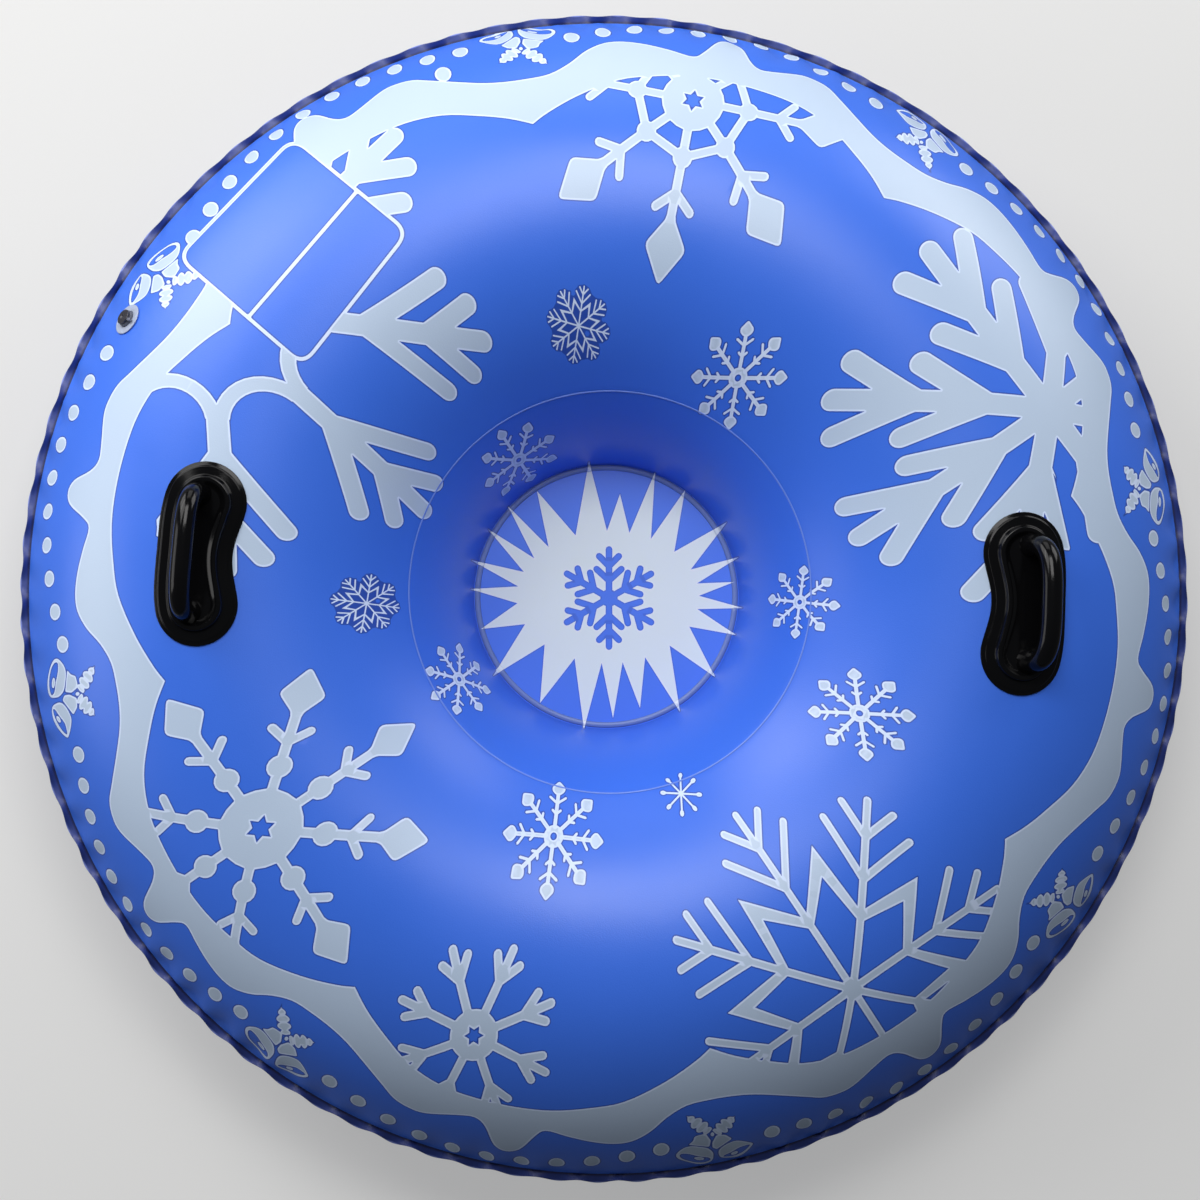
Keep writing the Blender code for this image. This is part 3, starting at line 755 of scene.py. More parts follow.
def spine_point(along, offset):
    """A place beside the handle's bent spine, as (along, across) in the handle's plan."""
    turn = along / SPINE_BEND_RADIUS
    reach = SPINE_BEND_RADIUS + offset
    return reach * math.sin(turn), reach * math.cos(turn) - SPINE_BEND_RADIUS


def base_ring(inset, lift):
    """The base's outline drawn in by an inset: an outer side, an end, an inner side and the other end."""
    half = SPINE_LENGTH / 2
    end_turn = half / SPINE_BEND_RADIUS
    ring = []
    for side in (1, -1):
        for k in range(SIDE_STEPS + 1):
            along = side * (2 * k / SIDE_STEPS - 1) * half
            waist = WAIST_DIP * math.cos(math.pi * along / SPINE_LENGTH) ** 2
            ring.append((*spine_point(along, side * (BASE_HALF_WIDTH - waist - inset)), lift))
        centre = spine_point(side * half, 0)
        first = end_turn if side > 0 else math.pi - end_turn
        for k in range(1, END_STEPS + 1):
            turn = first + math.pi * k / (END_STEPS + 1)
            reach = BASE_HALF_WIDTH - inset
            ring.append((centre[0] + reach * math.sin(turn), centre[1] + reach * math.cos(turn), lift))
    return ring


def on_handle(place, angle):
    """Puts a point of a handle's own (along, across, lift) space on the tube, less the bow's widening."""
    along, across, lift = place
    reach = HANDLE_RADIUS + across * TOP_OUTER.radius / (TOP_OUTER.radius + lift)
    x = reach * math.cos(angle) - along * math.sin(angle)
    y = reach * math.sin(angle) + along * math.cos(angle)
    return off_plan(x, y, lift)


# %% The section of the base, with its corners rounded
CORNER_STEPS = 4


def rounded_line(corners):
    """A line of (x, y, corner radius) corners with each inner corner replaced by a small curve."""
    line = [Vector(corners[0][:2])]
    for before, corner, after in zip(corners, corners[1:], corners[2:]):
        middle = Vector(corner[:2])
        back = (Vector(before[:2]) - middle).normalized() * corner[2]
        on = (Vector(after[:2]) - middle).normalized() * corner[2]
        for k in range(CORNER_STEPS + 1):
            share = k / CORNER_STEPS
            line.append(middle + back * (1 - share) ** 2 + on * share ** 2)
    return line + [Vector(corners[-1][:2])]


BASE_SECTION_MM = [
    (22.0, 0.3, 0),
    (0.0, 0.3, 0.2),
    (0.0, 1.5, 0.5),
    (3.6, 2.0, 0.8),
    (4.4, 2.9, 0.5),
    (12.2, 3.1, 0.8),
    (14.1, 7.2, 1.0),
    (18.0, 7.3, 1.6),
    (22.0, 4.2, 2.0),
    (27.0, 3.9, 0),
]
base_line = [place * MM for place in rounded_line(BASE_SECTION_MM)]
print("the base has", len(base_line), "rings of", len(base_ring(0, 0)), "corners")


# %% Lofting the base and the bar
BLACK = (0.0022, 0.0022, 0.0026)
GRIP_RADIUS = 9.5 * MM
GRIP_HALF_SPAN = 53 * MM
GRIP_RISE = 36 * MM
GRIP_SHIFTS = {"right_handle": 10 * MM, "left_handle": 2 * MM}
GRIP_FOOT = 2.0 * MM
GRIP_FLARE = 3.0 * MM
GRIP_FLARE_HEIGHT = 9.0 * MM
GRIP_STEPS = 48
GRIP_SIDES = 32
ARCH_POWER = 2 / 3
MOULDED_SHARP_DEGREES = 40
BLACK_HIGHLIGHT = 0.22


def loft(mesh, rings, closed=False):
    """Joins rings of equal count, each to the next, and closes the ends if told. Returns the corners."""
    corners = [[mesh.verts.new(place) for place in ring] for ring in rings]
    for ring, other in zip(corners, corners[1:]):
        count = len(ring)
        for k in range(count):
            mesh.faces.new((ring[k], ring[(k + 1) % count], other[(k + 1) % count], other[k]))
    if closed:
        mesh.faces.new(corners[0])
        mesh.faces.new(corners[-1])
    return corners


def close_bean(mesh, ring):
    """Fills a base ring with strips from side to side and a face at each end."""
    half = len(ring) // 2
    opposite = [ring[half + SIDE_STEPS - k] for k in range(SIDE_STEPS + 1)]
    for k in range(SIDE_STEPS):
        mesh.faces.new((ring[k], ring[k + 1], opposite[k + 1], opposite[k]))
    mesh.faces.new(ring[SIDE_STEPS : half + 1])
    mesh.faces.new((*ring[half + SIDE_STEPS :], ring[0]))


def grip_rings(shift):
    """The bar: a round section along a flat-topped arch that leans by the shift, flared out of the dish."""
    path = []
    for k in range(GRIP_STEPS + 1):
        turn = math.pi * k / GRIP_STEPS
        rise = abs(math.sin(turn)) ** ARCH_POWER
        along = -math.copysign(abs(math.cos(turn)) ** ARCH_POWER, math.cos(turn)) * GRIP_HALF_SPAN
        path.append(Vector((along, shift * rise, GRIP_FOOT + (GRIP_RISE - GRIP_FOOT) * rise)))
    rings = []
    for k, middle in enumerate(path):
        way = UP if k == 0 else -UP if k == GRIP_STEPS else (path[k + 1] - path[k - 1]).normalized()
        beside = way.cross(Vector((0, 1, 0))).normalized()
        other = way.cross(beside)
        above = min(1, (middle.z - GRIP_FOOT) / GRIP_FLARE_HEIGHT)
        girth = GRIP_RADIUS + GRIP_FLARE * (1 - above) ** 2
        turns = [math.tau * side / GRIP_SIDES for side in range(GRIP_SIDES)]
        rings.append([middle + (beside * math.cos(t) + other * math.sin(t)) * girth for t in turns])
    return rings


def finished(name, mesh, finish):
    """An object of the mesh, smooth and with its faces outwards."""
    bmesh.ops.remove_doubles(mesh, verts=mesh.verts, dist=MERGE_DISTANCE)
    bmesh.ops.recalc_face_normals(mesh, faces=mesh.faces)
    data = bpy.data.meshes.new(name)
    mesh.to_mesh(data)
    mesh.free()
    shade(data, MOULDED_SHARP_DEGREES)
    data.materials.append(finish)
    return add_object(name, data)


BLACK_LOOKS = {"roughness": 0.12, "shade_share": 0.5, "grain_height": 0.08}
black_moulding, _, black_shader, _ = vinyl("black_moulding", BLACK, **BLACK_LOOKS)
black_shader.inputs["Specular IOR Level"].default_value = BLACK_HIGHLIGHT
handles = {}
for name, angle in HANDLE_ANGLES.items():
    mesh = bmesh.new()
    rings = [[on_handle(place, angle) for place in base_ring(step.x, step.y)] for step in base_line]
    corners = loft(mesh, rings)
    close_bean(mesh, corners[0])
    close_bean(mesh, corners[-1])
    bar_rings = grip_rings(GRIP_SHIFTS[name])
    loft(mesh, [[on_handle(place, angle) for place in ring] for ring in bar_rings], closed=True)
    handles[name] = finished("moulded_" + name, mesh, black_moulding)
    low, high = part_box(name)
    print(name, "CAD box", short((*low, *high)))

# %% [markdown]
# The print is a stack of closed outlines on the flat chart, each either ink or bare ground, and a later
# outline covers an earlier one. A spot of the chart is a complex number: adding moves it, multiplying turns
# it. Four tools draw nearly everything: a smooth curve, a polygon with rounded corners, a stroke and an oval.

# %% Tools for outlines
ARMS = 8
LONGEST_PART = 5
FEWEST_STEPS = 5
CORNER_LIMIT = 2.2
layers = []


def lay(outlines, inked=True):
    """Puts outlines on top of the print, as ink or as bare ground."""
    layers.extend((outline, inked) for outline in outlines)


def turned(degrees):
    return cmath.rect(1, math.radians(degrees))


def divided(points, longest=LONGEST_PART, closed=True):
    """A line with its long stretches divided into equal parts."""
    line = []
    for here, after in zip(points, points[1:] + points[:1] if closed else points[1:]):
        parts = max(1, math.ceil(abs(after - here) / longest))
        line += [here + (after - here) * k / parts for k in range(parts)]
    return line if closed else line + [points[-1]]


def smooth(knots, steps=5, closed=True):
    """A smooth curve through knots, each stretch aimed by its neighbours."""
    count = len(knots)
    line = []
    for k in range(count if closed else count - 1):
        before, here, after, later = (knots[(k + shift) % count] for shift in (-1, 0, 1, 2))
        if not closed:
            before = knots[max(0, k - 1)]
            later = knots[min(count - 1, k + 2)]
        for step in range(steps):
            t = step / steps
            lead = (after - before) / 2
            follow = (later - here) / 2
            bend = 3 * (after - here) - 2 * lead - follow
            close = lead + follow - 2 * (after - here)
            line.append(here + t * (lead + t * (bend + t * close)))
    return line if closed else line + [knots[-1]]


def rounded(corners, radius, steps=3):
    """A closed polygon whose corners are replaced by small curves."""
    line = []
    count = len(corners)
    for k, corner in enumerate(corners):
        back = corners[k - 1] - corner
        on = corners[(k + 1) % count] - corner
        reach = min(radius, abs(back) / CORNER_LIMIT, abs(on) / CORNER_LIMIT)
        back *= reach / abs(back)
        on *= reach / abs(on)
        line += [corner + back * (1 - s / steps) ** 2 + on * (s / steps) ** 2 for s in range(steps + 1)]
    return line


def stroke(start, end, width, steps=None):
    """A straight stroke with round ends, in more steps where it is wide."""
    steps = steps or max(FEWEST_STEPS, round(width / 2))
    way = (end - start) / abs(end - start)
    half = width / 2
    first = [start - way * half * turned(180 * k / steps - 90) for k in range(steps + 1)]
    last = [end + way * half * turned(180 * k / steps - 90) for k in range(steps + 1)]
    return first + last


def oval(centre, half_along, half_across, way=1, steps=16):
    turns = [turned(360 * k / steps) for k in range(steps)]
    return [centre + way * complex(half_along * t.real, half_across * t.imag) for t in turns]


def mirrored(outline):
    """The outline with each point mirrored over the arm's line."""
    return [point.conjugate() for point in outline]


def scaled(outlines, scale):
    return [[point * scale for point in outline] for outline in outlines]


def star(reach, valley, points, first=0):
    """A star of straight rays, as its tips and valleys in turn."""
    half_step = 180 / points
    return [(valley if k % 2 else reach) * turned(first + half_step * k) for k in range(2 * points)]


def around(outlines, centre, first, count=ARMS):
    """Repeats a template, drawn in millimetres along an arm, round a centre of the chart."""
    placed = []
    for k in range(count):
        turn = turned(first + 360 * k / count) * MM
        placed += [[centre + turn * point for point in outline] for outline in outlines]
    return placed


def inwards(centre):
    """The direction from a spot of the chart to the middle of the seat, in degrees."""
    return math.degrees(cmath.phase(-centre))


# %% [markdown]
# Six big snowflakes lie round the tube. Each has eight equal arms, so one arm is drawn in millimetres along
# its own line and repeated. Two flakes have arms that end in kites, the others have round twigs. The bold
# flake's lowest arm runs in under the right handle, so what would show beside the handle is left bare later.

# %% Arms with kites
KITE_LIP = 1
HUB_PART = 4
HOLE_POINTS = 6
HOLE_VALLEY_SHARE = 0.56


def kite_arm(width, ball, ball_radius, fork, twig, twig_width, neck, side, tip, corner):
    """An arm with a ball, a pair of round twigs and a kite at its end."""
    half = width / 2
    kite = [neck + half * 1j, complex(neck + corner, half + KITE_LIP), side, tip + 0j, side.conjugate()]
    kite += [complex(neck + corner, -half - KITE_LIP), neck - half * 1j]
    return [
        divided([half * 1j, neck + corner + half * 1j, neck + corner - half * 1j, -half * 1j]),
        divided(rounded(kite, corner)),
        oval(ball, ball_radius, ball_radius),
        stroke(fork, twig, twig_width),
        stroke(fork, twig.conjugate(), twig_width),
    ]


def lay_hub(centre, first, reach, valley, hole, hole_first):
    """Lays a flake's nearly round hub, and the hole in it, which is a star with six points."""
    lay(around([divided(star(reach, valley, ARMS))], centre, first, 1))
    hole_star = divided(star(hole, hole * HOLE_VALLEY_SHARE, HOLE_POINTS), HUB_PART)
    lay(around([hole_star], centre, hole_first, 1), False)


kite_centre = seen_at(260.4 + 828.8j)
kite_first = inwards(kite_centre)
kite_shapes = kite_arm(
    width=10.5, ball=65, ball_radius=12.5, fork=91, twig=105 + 18.5j, twig_width=9.3,
    neck=118, side=143.5 + 23j, tip=176, corner=6,
)
lay(around(kite_shapes, kite_centre, kite_first))
lay_hub(kite_centre, kite_first, reach=43, valley=41.5, hole=14.3, hole_first=kite_first + 45)

RING_REACH = 63
ring_centre = seen_at(693.2 + 100.3j)
ring_first = inwards(ring_centre) - 2
ring_shapes = kite_arm(
    width=10, ball=RING_REACH, ball_radius=11, fork=97, twig=113 + 20j, twig_width=9.3,
    neck=117, side=148 + 24.5j, tip=183, corner=6,
)
ring_shapes.append(divided(stroke(RING_REACH + 0j, RING_REACH * turned(360 / ARMS), width=9.5)))
lay(around(ring_shapes, ring_centre, ring_first))
lay_hub(ring_centre, ring_first, reach=36, valley=35, hole=13, hole_first=ring_first + 180)
print("outlines with the kite flakes", len(layers))


# %% Arms with twigs
def twig_arm(width, end, twigs, start=0, twig_width=None):
    """A round-ended arm with pairs of twigs, each pair as (root, end of the twig)."""
    shapes = [divided(stroke(start + 0j, end + 0j, width))]
    for root, twig in twigs:
        side = divided(stroke(root + 0j, twig, twig_width or width))
        shapes += [side, mirrored(side)]
    return shapes


bold_centre = seen_at(1050 + 410j)
bold_shapes = twig_arm(width=23.8, end=220, twigs=[(66, 139.5 + 39.5j), (136, 210 + 40j)])
lay(around(bold_shapes, bold_centre, inwards(bold_centre) + 14.6))
print("outlines with the bold flake", len(layers))

# %% The flake with a ring of arches
ARCH_CENTRE = -0.4381 + 0.3012j
ARCH_FIRST = 0.2
ARCH_MIDDLE = 127
ARCH_RADIUS = 53
ARCH_WIDTH = 16
ARCH_STEPS = 12
ARCH_SPREAD = 62
ARCH_TWIGS = [(152, 235 + 56j), (218, 266 + 34.5j)]
arch = []
for radius, way in ((ARCH_RADIUS, 1), (ARCH_RADIUS - ARCH_WIDTH, -1)):
    turns = [180 + way * ARCH_SPREAD * (2 * k / ARCH_STEPS - 1) for k in range(ARCH_STEPS + 1)]
    arch += [(ARCH_MIDDLE + radius * turned(turn)) * turned(180 / ARMS) for turn in turns]
arch_shapes = twig_arm(width=22, end=280.5, twigs=ARCH_TWIGS, start=110, twig_width=21) + [divided(arch)]
lay(around(arch_shapes, ARCH_CENTRE, ARCH_FIRST))
print("outlines with the flake of arches", len(layers))

# %% Slender flakes
STAR_END = 194
STAR_TWIGS = [(111, 162.5 + 43j), (154.5, 185.5 + 25.5j)]
STAR_NEAR = 79
STAR_FAR = 140
STAR_LINE_NEAR = 12
STAR_LINE_FAR = 31
STAR_HUB = 12


def star_flake(centre, first, size, stroke_width, star_width_share=1.0):
    """The flake with a star's outline about its hub, drawn to a size and a stroke width."""
    outer = divided(star(STAR_NEAR, STAR_FAR, ARMS))
    inner_near = STAR_NEAR - STAR_LINE_NEAR * star_width_share
    inner = divided(star(inner_near, STAR_FAR - STAR_LINE_FAR * star_width_share, ARMS))
    arm = twig_arm(stroke_width, STAR_END, STAR_TWIGS)
    hub = oval(0, STAR_HUB, STAR_HUB)
    steps = (([outer], True, 1), ([inner], False, 1), (arm, True, ARMS), ([hub], True, 1))
    for outlines, inked, count in steps:
        lay(around(scaled(outlines, size / STAR_END), centre, first, count), inked)


star_centre = seen_at(852.7 + 988.9j)
star_flake(star_centre, inwards(star_centre) + 3.6, size=STAR_END, stroke_width=8)

fork_centre = seen_at(473.9 + 1035.7j)
fork_first = inwards(fork_centre) - 9
lay(around(twig_arm(width=9.3, end=87.5, twigs=[(56, 77 + 14j)]), fork_centre, fork_first))
lay_hub(fork_centre, fork_first, reach=27, valley=26, hole=10.5, hole_first=0)
print("outlines with the slender flakes", len(layers))

# %% [markdown]
# A wavy band of snow runs round the print in eight equal sectors. Its outer edge sinks under each bell, rises
# to a shoulder, dips and swells into a drift halfway. Its inner edge is an arch between cusps. The low
# places, the drifts and the cusps are read from the photograph, and the edges are drawn between them.

# %% The band of snow
LOW_PIXELS = [905 + 161j, 1112 + 490j, 1036 + 876j, 709 + 1100j, 310 + 1012j, 116 + 684j, 195 + 301j]
LOW_PIXELS += [526 + 79j]
DRIFT_PIXELS = [731 + 43j, 1076 + 289j, 1153 + 699j, 932 + 1055j, 506 + 1151j, 147 + 915j, 68 + 492j]
DRIFT_PIXELS += [303 + 119j]
CUSP_PIXELS = [884 + 198j, 1071 + 496j, 1005 + 839j, 710 + 1048j, 355 + 987j, 165 + 681j, 230 + 324j]
CUSP_PIXELS += [533 + 124j]
RISING_EDGE = [(0, 0), (0.12, 0.03), (0.225, 0.18), (0.315, 0.41), (0.405, 0.57), (0.495, 0.61)]
RISING_EDGE += [(0.604, 0.57), (0.72, 0.49), (0.83, 0.42), (0.88, 0.56), (0.94, 0.9)]
FALLING_EDGE = [(0, 1), (0.053, 0.9), (0.106, 0.56), (0.16, 0.43), (0.24, 0.48), (0.363, 0.63), (0.434, 0.64)]
FALLING_EDGE += [(0.504, 0.58), (0.575, 0.43), (0.68, 0.24), (0.79, 0.09), (0.89, 0.02)]
CUSP_EDGE = [(0, 0), (0.046, 0.17), (0.133, 0.45), (0.236, 0.75), (0.32, 0.87), (0.41, 0.97), (0.5, 1)]
CUSP_EDGE += [(0.6, 0.99), (0.69, 0.94), (0.78, 0.77), (0.868, 0.47), (0.94, 0.23)]
ARCH_RISES_MM = (58, 52, 50, 60, 61, 58, 48, 49)
BEYOND_THE_RIM = 1.1


def between(start, end, share, rise):
    """A spot between two others, by its share of the way round and by its share of the rise in reach."""
    angle = math.remainder(cmath.phase(end / start), math.tau)
    reach = abs(start) + (abs(end) - abs(start)) * rise
    return cmath.rect(reach, cmath.phase(start) + angle * share)


lows, drifts, cusps = (list(map(seen_at, pixels)) for pixels in (LOW_PIXELS, DRIFT_PIXELS, CUSP_PIXELS))
outer_knots = []
inner_sides = []
for k, drift in enumerate(drifts):
    outer_knots += [between(lows[k - 1], drift, share, rise) for share, rise in RISING_EDGE]
    outer_knots += [between(lows[k], drift, 1 - share, rise) for share, rise in FALLING_EDGE]
    knots = []
    for share, rise in [*CUSP_EDGE, (1, 0)]:
        spot = between(cusps[k - 1], cusps[k], share, share)
        knots.append(spot * (1 + ARCH_RISES_MM[k] * MM * rise / abs(spot)))
    inner_sides.append(smooth(knots, steps=4, closed=False))
outer_side = smooth(outer_knots, steps=4)

knots_in_sector = len(outer_side) // ARMS
for k, side in enumerate(inner_sides):
    first = k * knots_in_sector
    edge = [outer_side[(first + step) % len(outer_side)] for step in range(knots_in_sector + 1)]
    beyond = [spot * BEYOND_THE_RIM * EDGE / abs(spot) for spot in reversed(edge)]
    lay([divided(edge + beyond, LONGEST_PART * MM)], False)
    lay([divided(edge + side[::-1], LONGEST_PART * MM)])
BESIDE_PANEL = [289 + 150.8j, 275.3 + 137.6j, 177 + 239.4j, 190.6 + 252.6j]
lay([list(map(seen_at, BESIDE_PANEL))], False)
print("outlines with the band of snow", len(layers))

# %% [markdown]
# Dots follow the rim between the bells. Their ring swings out over each drift of snow and in towards the
# bells, and one dot gives way to the valve. Each pair of bells is drawn once in millimetres, with x clockwise
# along the rim and y outwards: two bells with open mouths, their crowns, and two lobed leaves below.

# %% Dots
BELL_PIXELS = [922 + 138j, 1143 + 486j, 1063 + 898j, 715 + 1139j, 285 + 1044j, 73 + 697j, 163 + 281j]
BELL_PIXELS += [518 + 45j]
DOTS_IN_SECTOR = 11
DOT_HALF_ALONG = 9.4 * MM
DOT_HALF_OUT = 11.8 * MM
DOT_NARROWING = 2.4 * MM
DOT_WIDENING = 7.0 * MM
DOT_TURNS = (-5.6, 5.9)
DOT_LIFTS_MM = (5, 14)
DOT_SWELL = 35 * MM
DOT_SWELL_POWER = 1.2
VALVE_SECTOR = 6
STRAY_DOT_PIXEL = 443 + 74j
bell_middles = list(map(seen_at, BELL_PIXELS))


def moved_out(spot, distance):
    return spot * (1 + distance / abs(spot))


def add_dot(spot):
    """Lays a dot. It is longer outwards at the top, at the bottom and most of all at the upper left."""
    out = spot / abs(spot)
    widened = DOT_WIDENING * max(0, out.imag) * max(0, -out.real)
    lay([oval(spot, DOT_HALF_OUT - DOT_NARROWING * out.real ** 2 + widened, DOT_HALF_ALONG, out)])


last_dot = DOTS_IN_SECTOR - 1
for sector in range(ARMS):
    start = moved_out(bell_middles[sector - 1] * turned(DOT_TURNS[0]), DOT_LIFTS_MM[0] * MM)
    end = moved_out(bell_middles[sector] * turned(DOT_TURNS[1]), DOT_LIFTS_MM[1] * MM)
    for k in range(DOTS_IN_SECTOR):
        if sector != VALVE_SECTOR or k < last_dot:
            share = k / last_dot
            swell = DOT_SWELL * math.sin(math.pi * share) ** DOT_SWELL_POWER
            add_dot(moved_out(between(start, end, share, share), swell))
add_dot(seen_at(STRAY_DOT_PIXEL))
print("outlines with the dots", len(layers))

# %% Bells and leaves
LEAF_LOBES = 4
LEAF_STEPS = 5
LOBE_START = 0.6
LOBE_POWER = 0.7
NOTCH_SHARE = 0.45
SWELL_START_SHARE = 0.12
SWELL_POWER = 0.6
BELL_STRETCH = 1.04
BELL_STRETCH_SWING = -0.09
BELL_LEFT = [-43 + 25j, -36 + 35j, -25 + 43j, -13 + 46.5j, -5 + 43j, -2.4 + 30j, -4 + 21j, -11 + 14j]
BELL_LEFT += [-21 + 10j, -29 + 12j, -39 + 19j]
MOUTH_LEFT = [-39.3 + 23.6j, -33.6 + 32.1j, -18 + 41.5j, -8.6 + 42.9j, -9.5 + 38j, -17 + 31.5j, -27 + 23.5j]
BELL_RIGHT = [5.5 + 42j, 11 + 46j, 25 + 42j, 38 + 33j, 45.5 + 23j, 45.5 + 14j, 37 + 6j, 28 + 4.5j, 18.5 + 8j]
BELL_RIGHT += [9 + 14j, 4.3 + 24j, 4 + 33j]
MOUTH_RIGHT = [7.9 + 40j, 16 + 41.2j, 28 + 37j, 38 + 29.5j, 42.5 + 20.5j, 40 + 15.7j, 31 + 18.5j, 21 + 25.5j]
MOUTH_RIGHT += [10.5 + 32j]
CROWN_LEFT = [-19.3 + 5j, -0.7 + 19.3j, 4 + 14j, 3.6 + 5j, -2.1 - 5.7j, -12.1 - 3.6j]
CROWN_RIGHT = [7.5 + 11.4j, 30.7 + 1.4j, 25 - 2.9j, 22.1 - 10j, 9.5 - 11j, 4.9 + 1j]


def leaf(base, tip, half_width):
    """A lobed leaf: its sides swell towards the middle and step in and out at each lobe."""
    side = []
    for k in range(LEAF_LOBES * LEAF_STEPS):
        share = (k + 0.5) / (LEAF_LOBES * LEAF_STEPS)
        lobe = abs(math.cos(math.pi * LEAF_LOBES * share - LOBE_START)) ** LOBE_POWER
        swell = math.sin(math.pi * min(1, share + SWELL_START_SHARE)) ** SWELL_POWER
        depth = swell * (NOTCH_SHARE + (1 - NOTCH_SHARE) * lobe)
        side.append(complex(share, half_width / abs(tip - base) * depth))
    outline = [0, *side, 1, *mirrored(reversed(side))]
    return [base + (tip - base) * point for point in outline]


bell_inks = [smooth(side, steps=3) for side in (BELL_LEFT, BELL_RIGHT)]
bell_inks += [rounded(crown, radius=2, steps=2) for crown in (CROWN_LEFT, CROWN_RIGHT)]
bell_inks.append(leaf(base=-1.4 - 8.3j, tip=-27 - 28j, half_width=9.5))
bell_inks.append(leaf(base=5 - 12j, tip=29.3 - 40.7j, half_width=8.5))
bell_inks.append(oval(2.2 - 8j, half_along=2.2, half_across=3.2, steps=8))
bell_bares = [smooth(side, steps=3) for side in (MOUTH_LEFT, MOUTH_RIGHT)]
clappers = [oval(-20.7 + 34.3j, half_along=5, half_across=3, way=turned(45), steps=10)]
clappers.append(oval(20.7 + 30.5j, half_along=6.5, half_across=3.2, way=turned(-30), steps=10))
for middle in bell_middles:
    out = cmath.phase(middle)
    first = math.degrees(out) - 90
    stretch = BELL_STRETCH + BELL_STRETCH_SWING * math.cos(2 * out)
    for shapes, inked in ((bell_inks, True), (bell_bares, False), (clappers, True)):
        stretched = [[complex(p.real, p.imag * stretch) for p in shape] for shape in shapes]
        lay(around(stretched, middle, first, 1), inked)
print("outlines with the bells", len(layers))

# %% [markdown]
# A panel at the upper left is left bare: a rounded white frame and one dividing line. It lies over the flake
# with the arches. Small flakes fill the space between the big ones. The middle of the seat has a white burst
# of uneven rays that reach over the weld, with a plain blue snowflake on it.

# %% The bare panel
PANEL_PIXELS = [293 + 138j, 408 + 232j, 303 + 365j, 178 + 257j]
PANEL_LINE = 3.6
PANEL_CORNER = 15
DIVIDER_SHARE = 0.56
CORNER_FINENESS = 8
PIXEL_STEP = 6


def inset(corners, distance):
    """A polygon with every side moved inwards, for corners in clockwise order on the picture."""
    moved = []
    for k, corner in enumerate(corners):
        before = corner - corners[k - 1]
        after = corners[(k + 1) % len(corners)] - corner
        before /= abs(before)
        after /= abs(after)
        turn = (before.conjugate() * after).imag
        moved.append(corner + (after - before) * distance / turn)
    return moved


def seen_outline(points):
    """The chart outline of a closed outline that is given in pixels."""
    return [seen_at(point) for point in divided(points, PIXEL_STEP)]


top, right, bottom, left = PANEL_PIXELS
divide_right = top + (right - top) * DIVIDER_SHARE
divide_left = left + (bottom - left) * DIVIDER_SHARE
half_line = PANEL_LINE / 2
pane_sides = ([top, divide_right, divide_left, left], [divide_right, right, bottom, divide_left])
lay([seen_outline(rounded(inset(PANEL_PIXELS, -half_line), PANEL_CORNER + PANEL_LINE, CORNER_FINENESS))])
for pane in pane_sides:
    corners = inset(pane, half_line)
    outline = []
    for k, corner in enumerate(corners):
        radius = half_line if pane[k] in (divide_right, divide_left) else PANEL_CORNER
        triangle = [corners[k - 1], corner, corners[(k + 1) % len(corners)]]
        curve = rounded(triangle, radius, CORNER_FINENESS)
        outline += curve[CORNER_FINENESS + 1 : 2 * CORNER_FINENESS + 2]
    lay([seen_outline(outline)], False)
print("outlines with the panel", len(layers))

# %% Bare ground beside the handles
BESIDE_HANDLE = [1053 + 473j, 1070 + 548j, 1066 + 560j, 1084 + 556j, 1084 + 530j, 1070 + 503j, 1062 + 488j]
BARE_OVALS = [(1070 + 600j, 17 * MM, 34 * MM), (148 + 527j, 9 * MM, 26 * MM)]
lay([seen_outline(BESIDE_HANDLE)], False)
for pixel, half_along, half_across in BARE_OVALS:
    lay([oval(seen_at(pixel), half_along, half_across)], False)
print("outlines with the bare ground", len(layers))

# %% Small flakes
LITTLE_END = 50
LITTLE_KITE = [36 + 2j, 39.5 + 6.3j, 43 + 6.8j, LITTLE_END, 43 - 6.8j, 39.5 - 6.3j, 36 - 2j]
LITTLE_TWIGS = [(19, 22.5 + 4.2j), (28.5, 34 + 8j)]
LITTLE_HUB = 9.6
LITTLE_HOLE = 3.3
LITTLE_FLAKES = [(0.158 + 0.266j, -5.7, 58), (-0.111 + 0.1646j, -8, 54), (-0.1886 - 0.1086j, -9.5, 50)]
LITTLE_FLAKES += [(-0.072 - 0.3046j, -6.7, 63), (0.243 - 0.0125j, -8, 48), (0.302 - 0.1505j, 1.7, 55)]
LITTLE_STARS = [(-0.0412 + 0.3255j, -11, 38), (-0.305 - 0.0166j, -8, 36)]
TINY_CENTRE = 0.0892 - 0.2572j
TINY_FIRST = -1


def little_flake(centre, first, reach):
    """A small flake of eight arms, with two pairs of tiny twigs and a small kite on each."""
    scale = reach / LITTLE_END
    shapes = [rounded(LITTLE_KITE, radius=2, steps=2), stroke(0j, 38 + 0j, width=3.6, steps=2)]
    for root, twig in LITTLE_TWIGS:
        shapes += [stroke(root + 0j, end, width=2.3, steps=2) for end in (twig, twig.conjugate())]
    lay(around(scaled(shapes, scale), centre, first))
    lay([oval(centre, LITTLE_HUB * scale * MM, LITTLE_HUB * scale * MM)])
    lay([oval(centre, LITTLE_HOLE * scale * MM, LITTLE_HOLE * scale * MM, steps=12)], False)


for centre, first, reach in LITTLE_FLAKES:
    little_flake(centre, first, reach)
for centre, first, size in LITTLE_STARS:
    star_flake(centre, first, size, stroke_width=8.5, star_width_share=0.9)
tiny = [stroke(0j, 21 + 0j, width=2.2, steps=2), oval(22.3, half_along=3.8, half_across=2.6, steps=8)]
lay(around(tiny, TINY_CENTRE, TINY_FIRST))
print("outlines with the small flakes", len(layers))

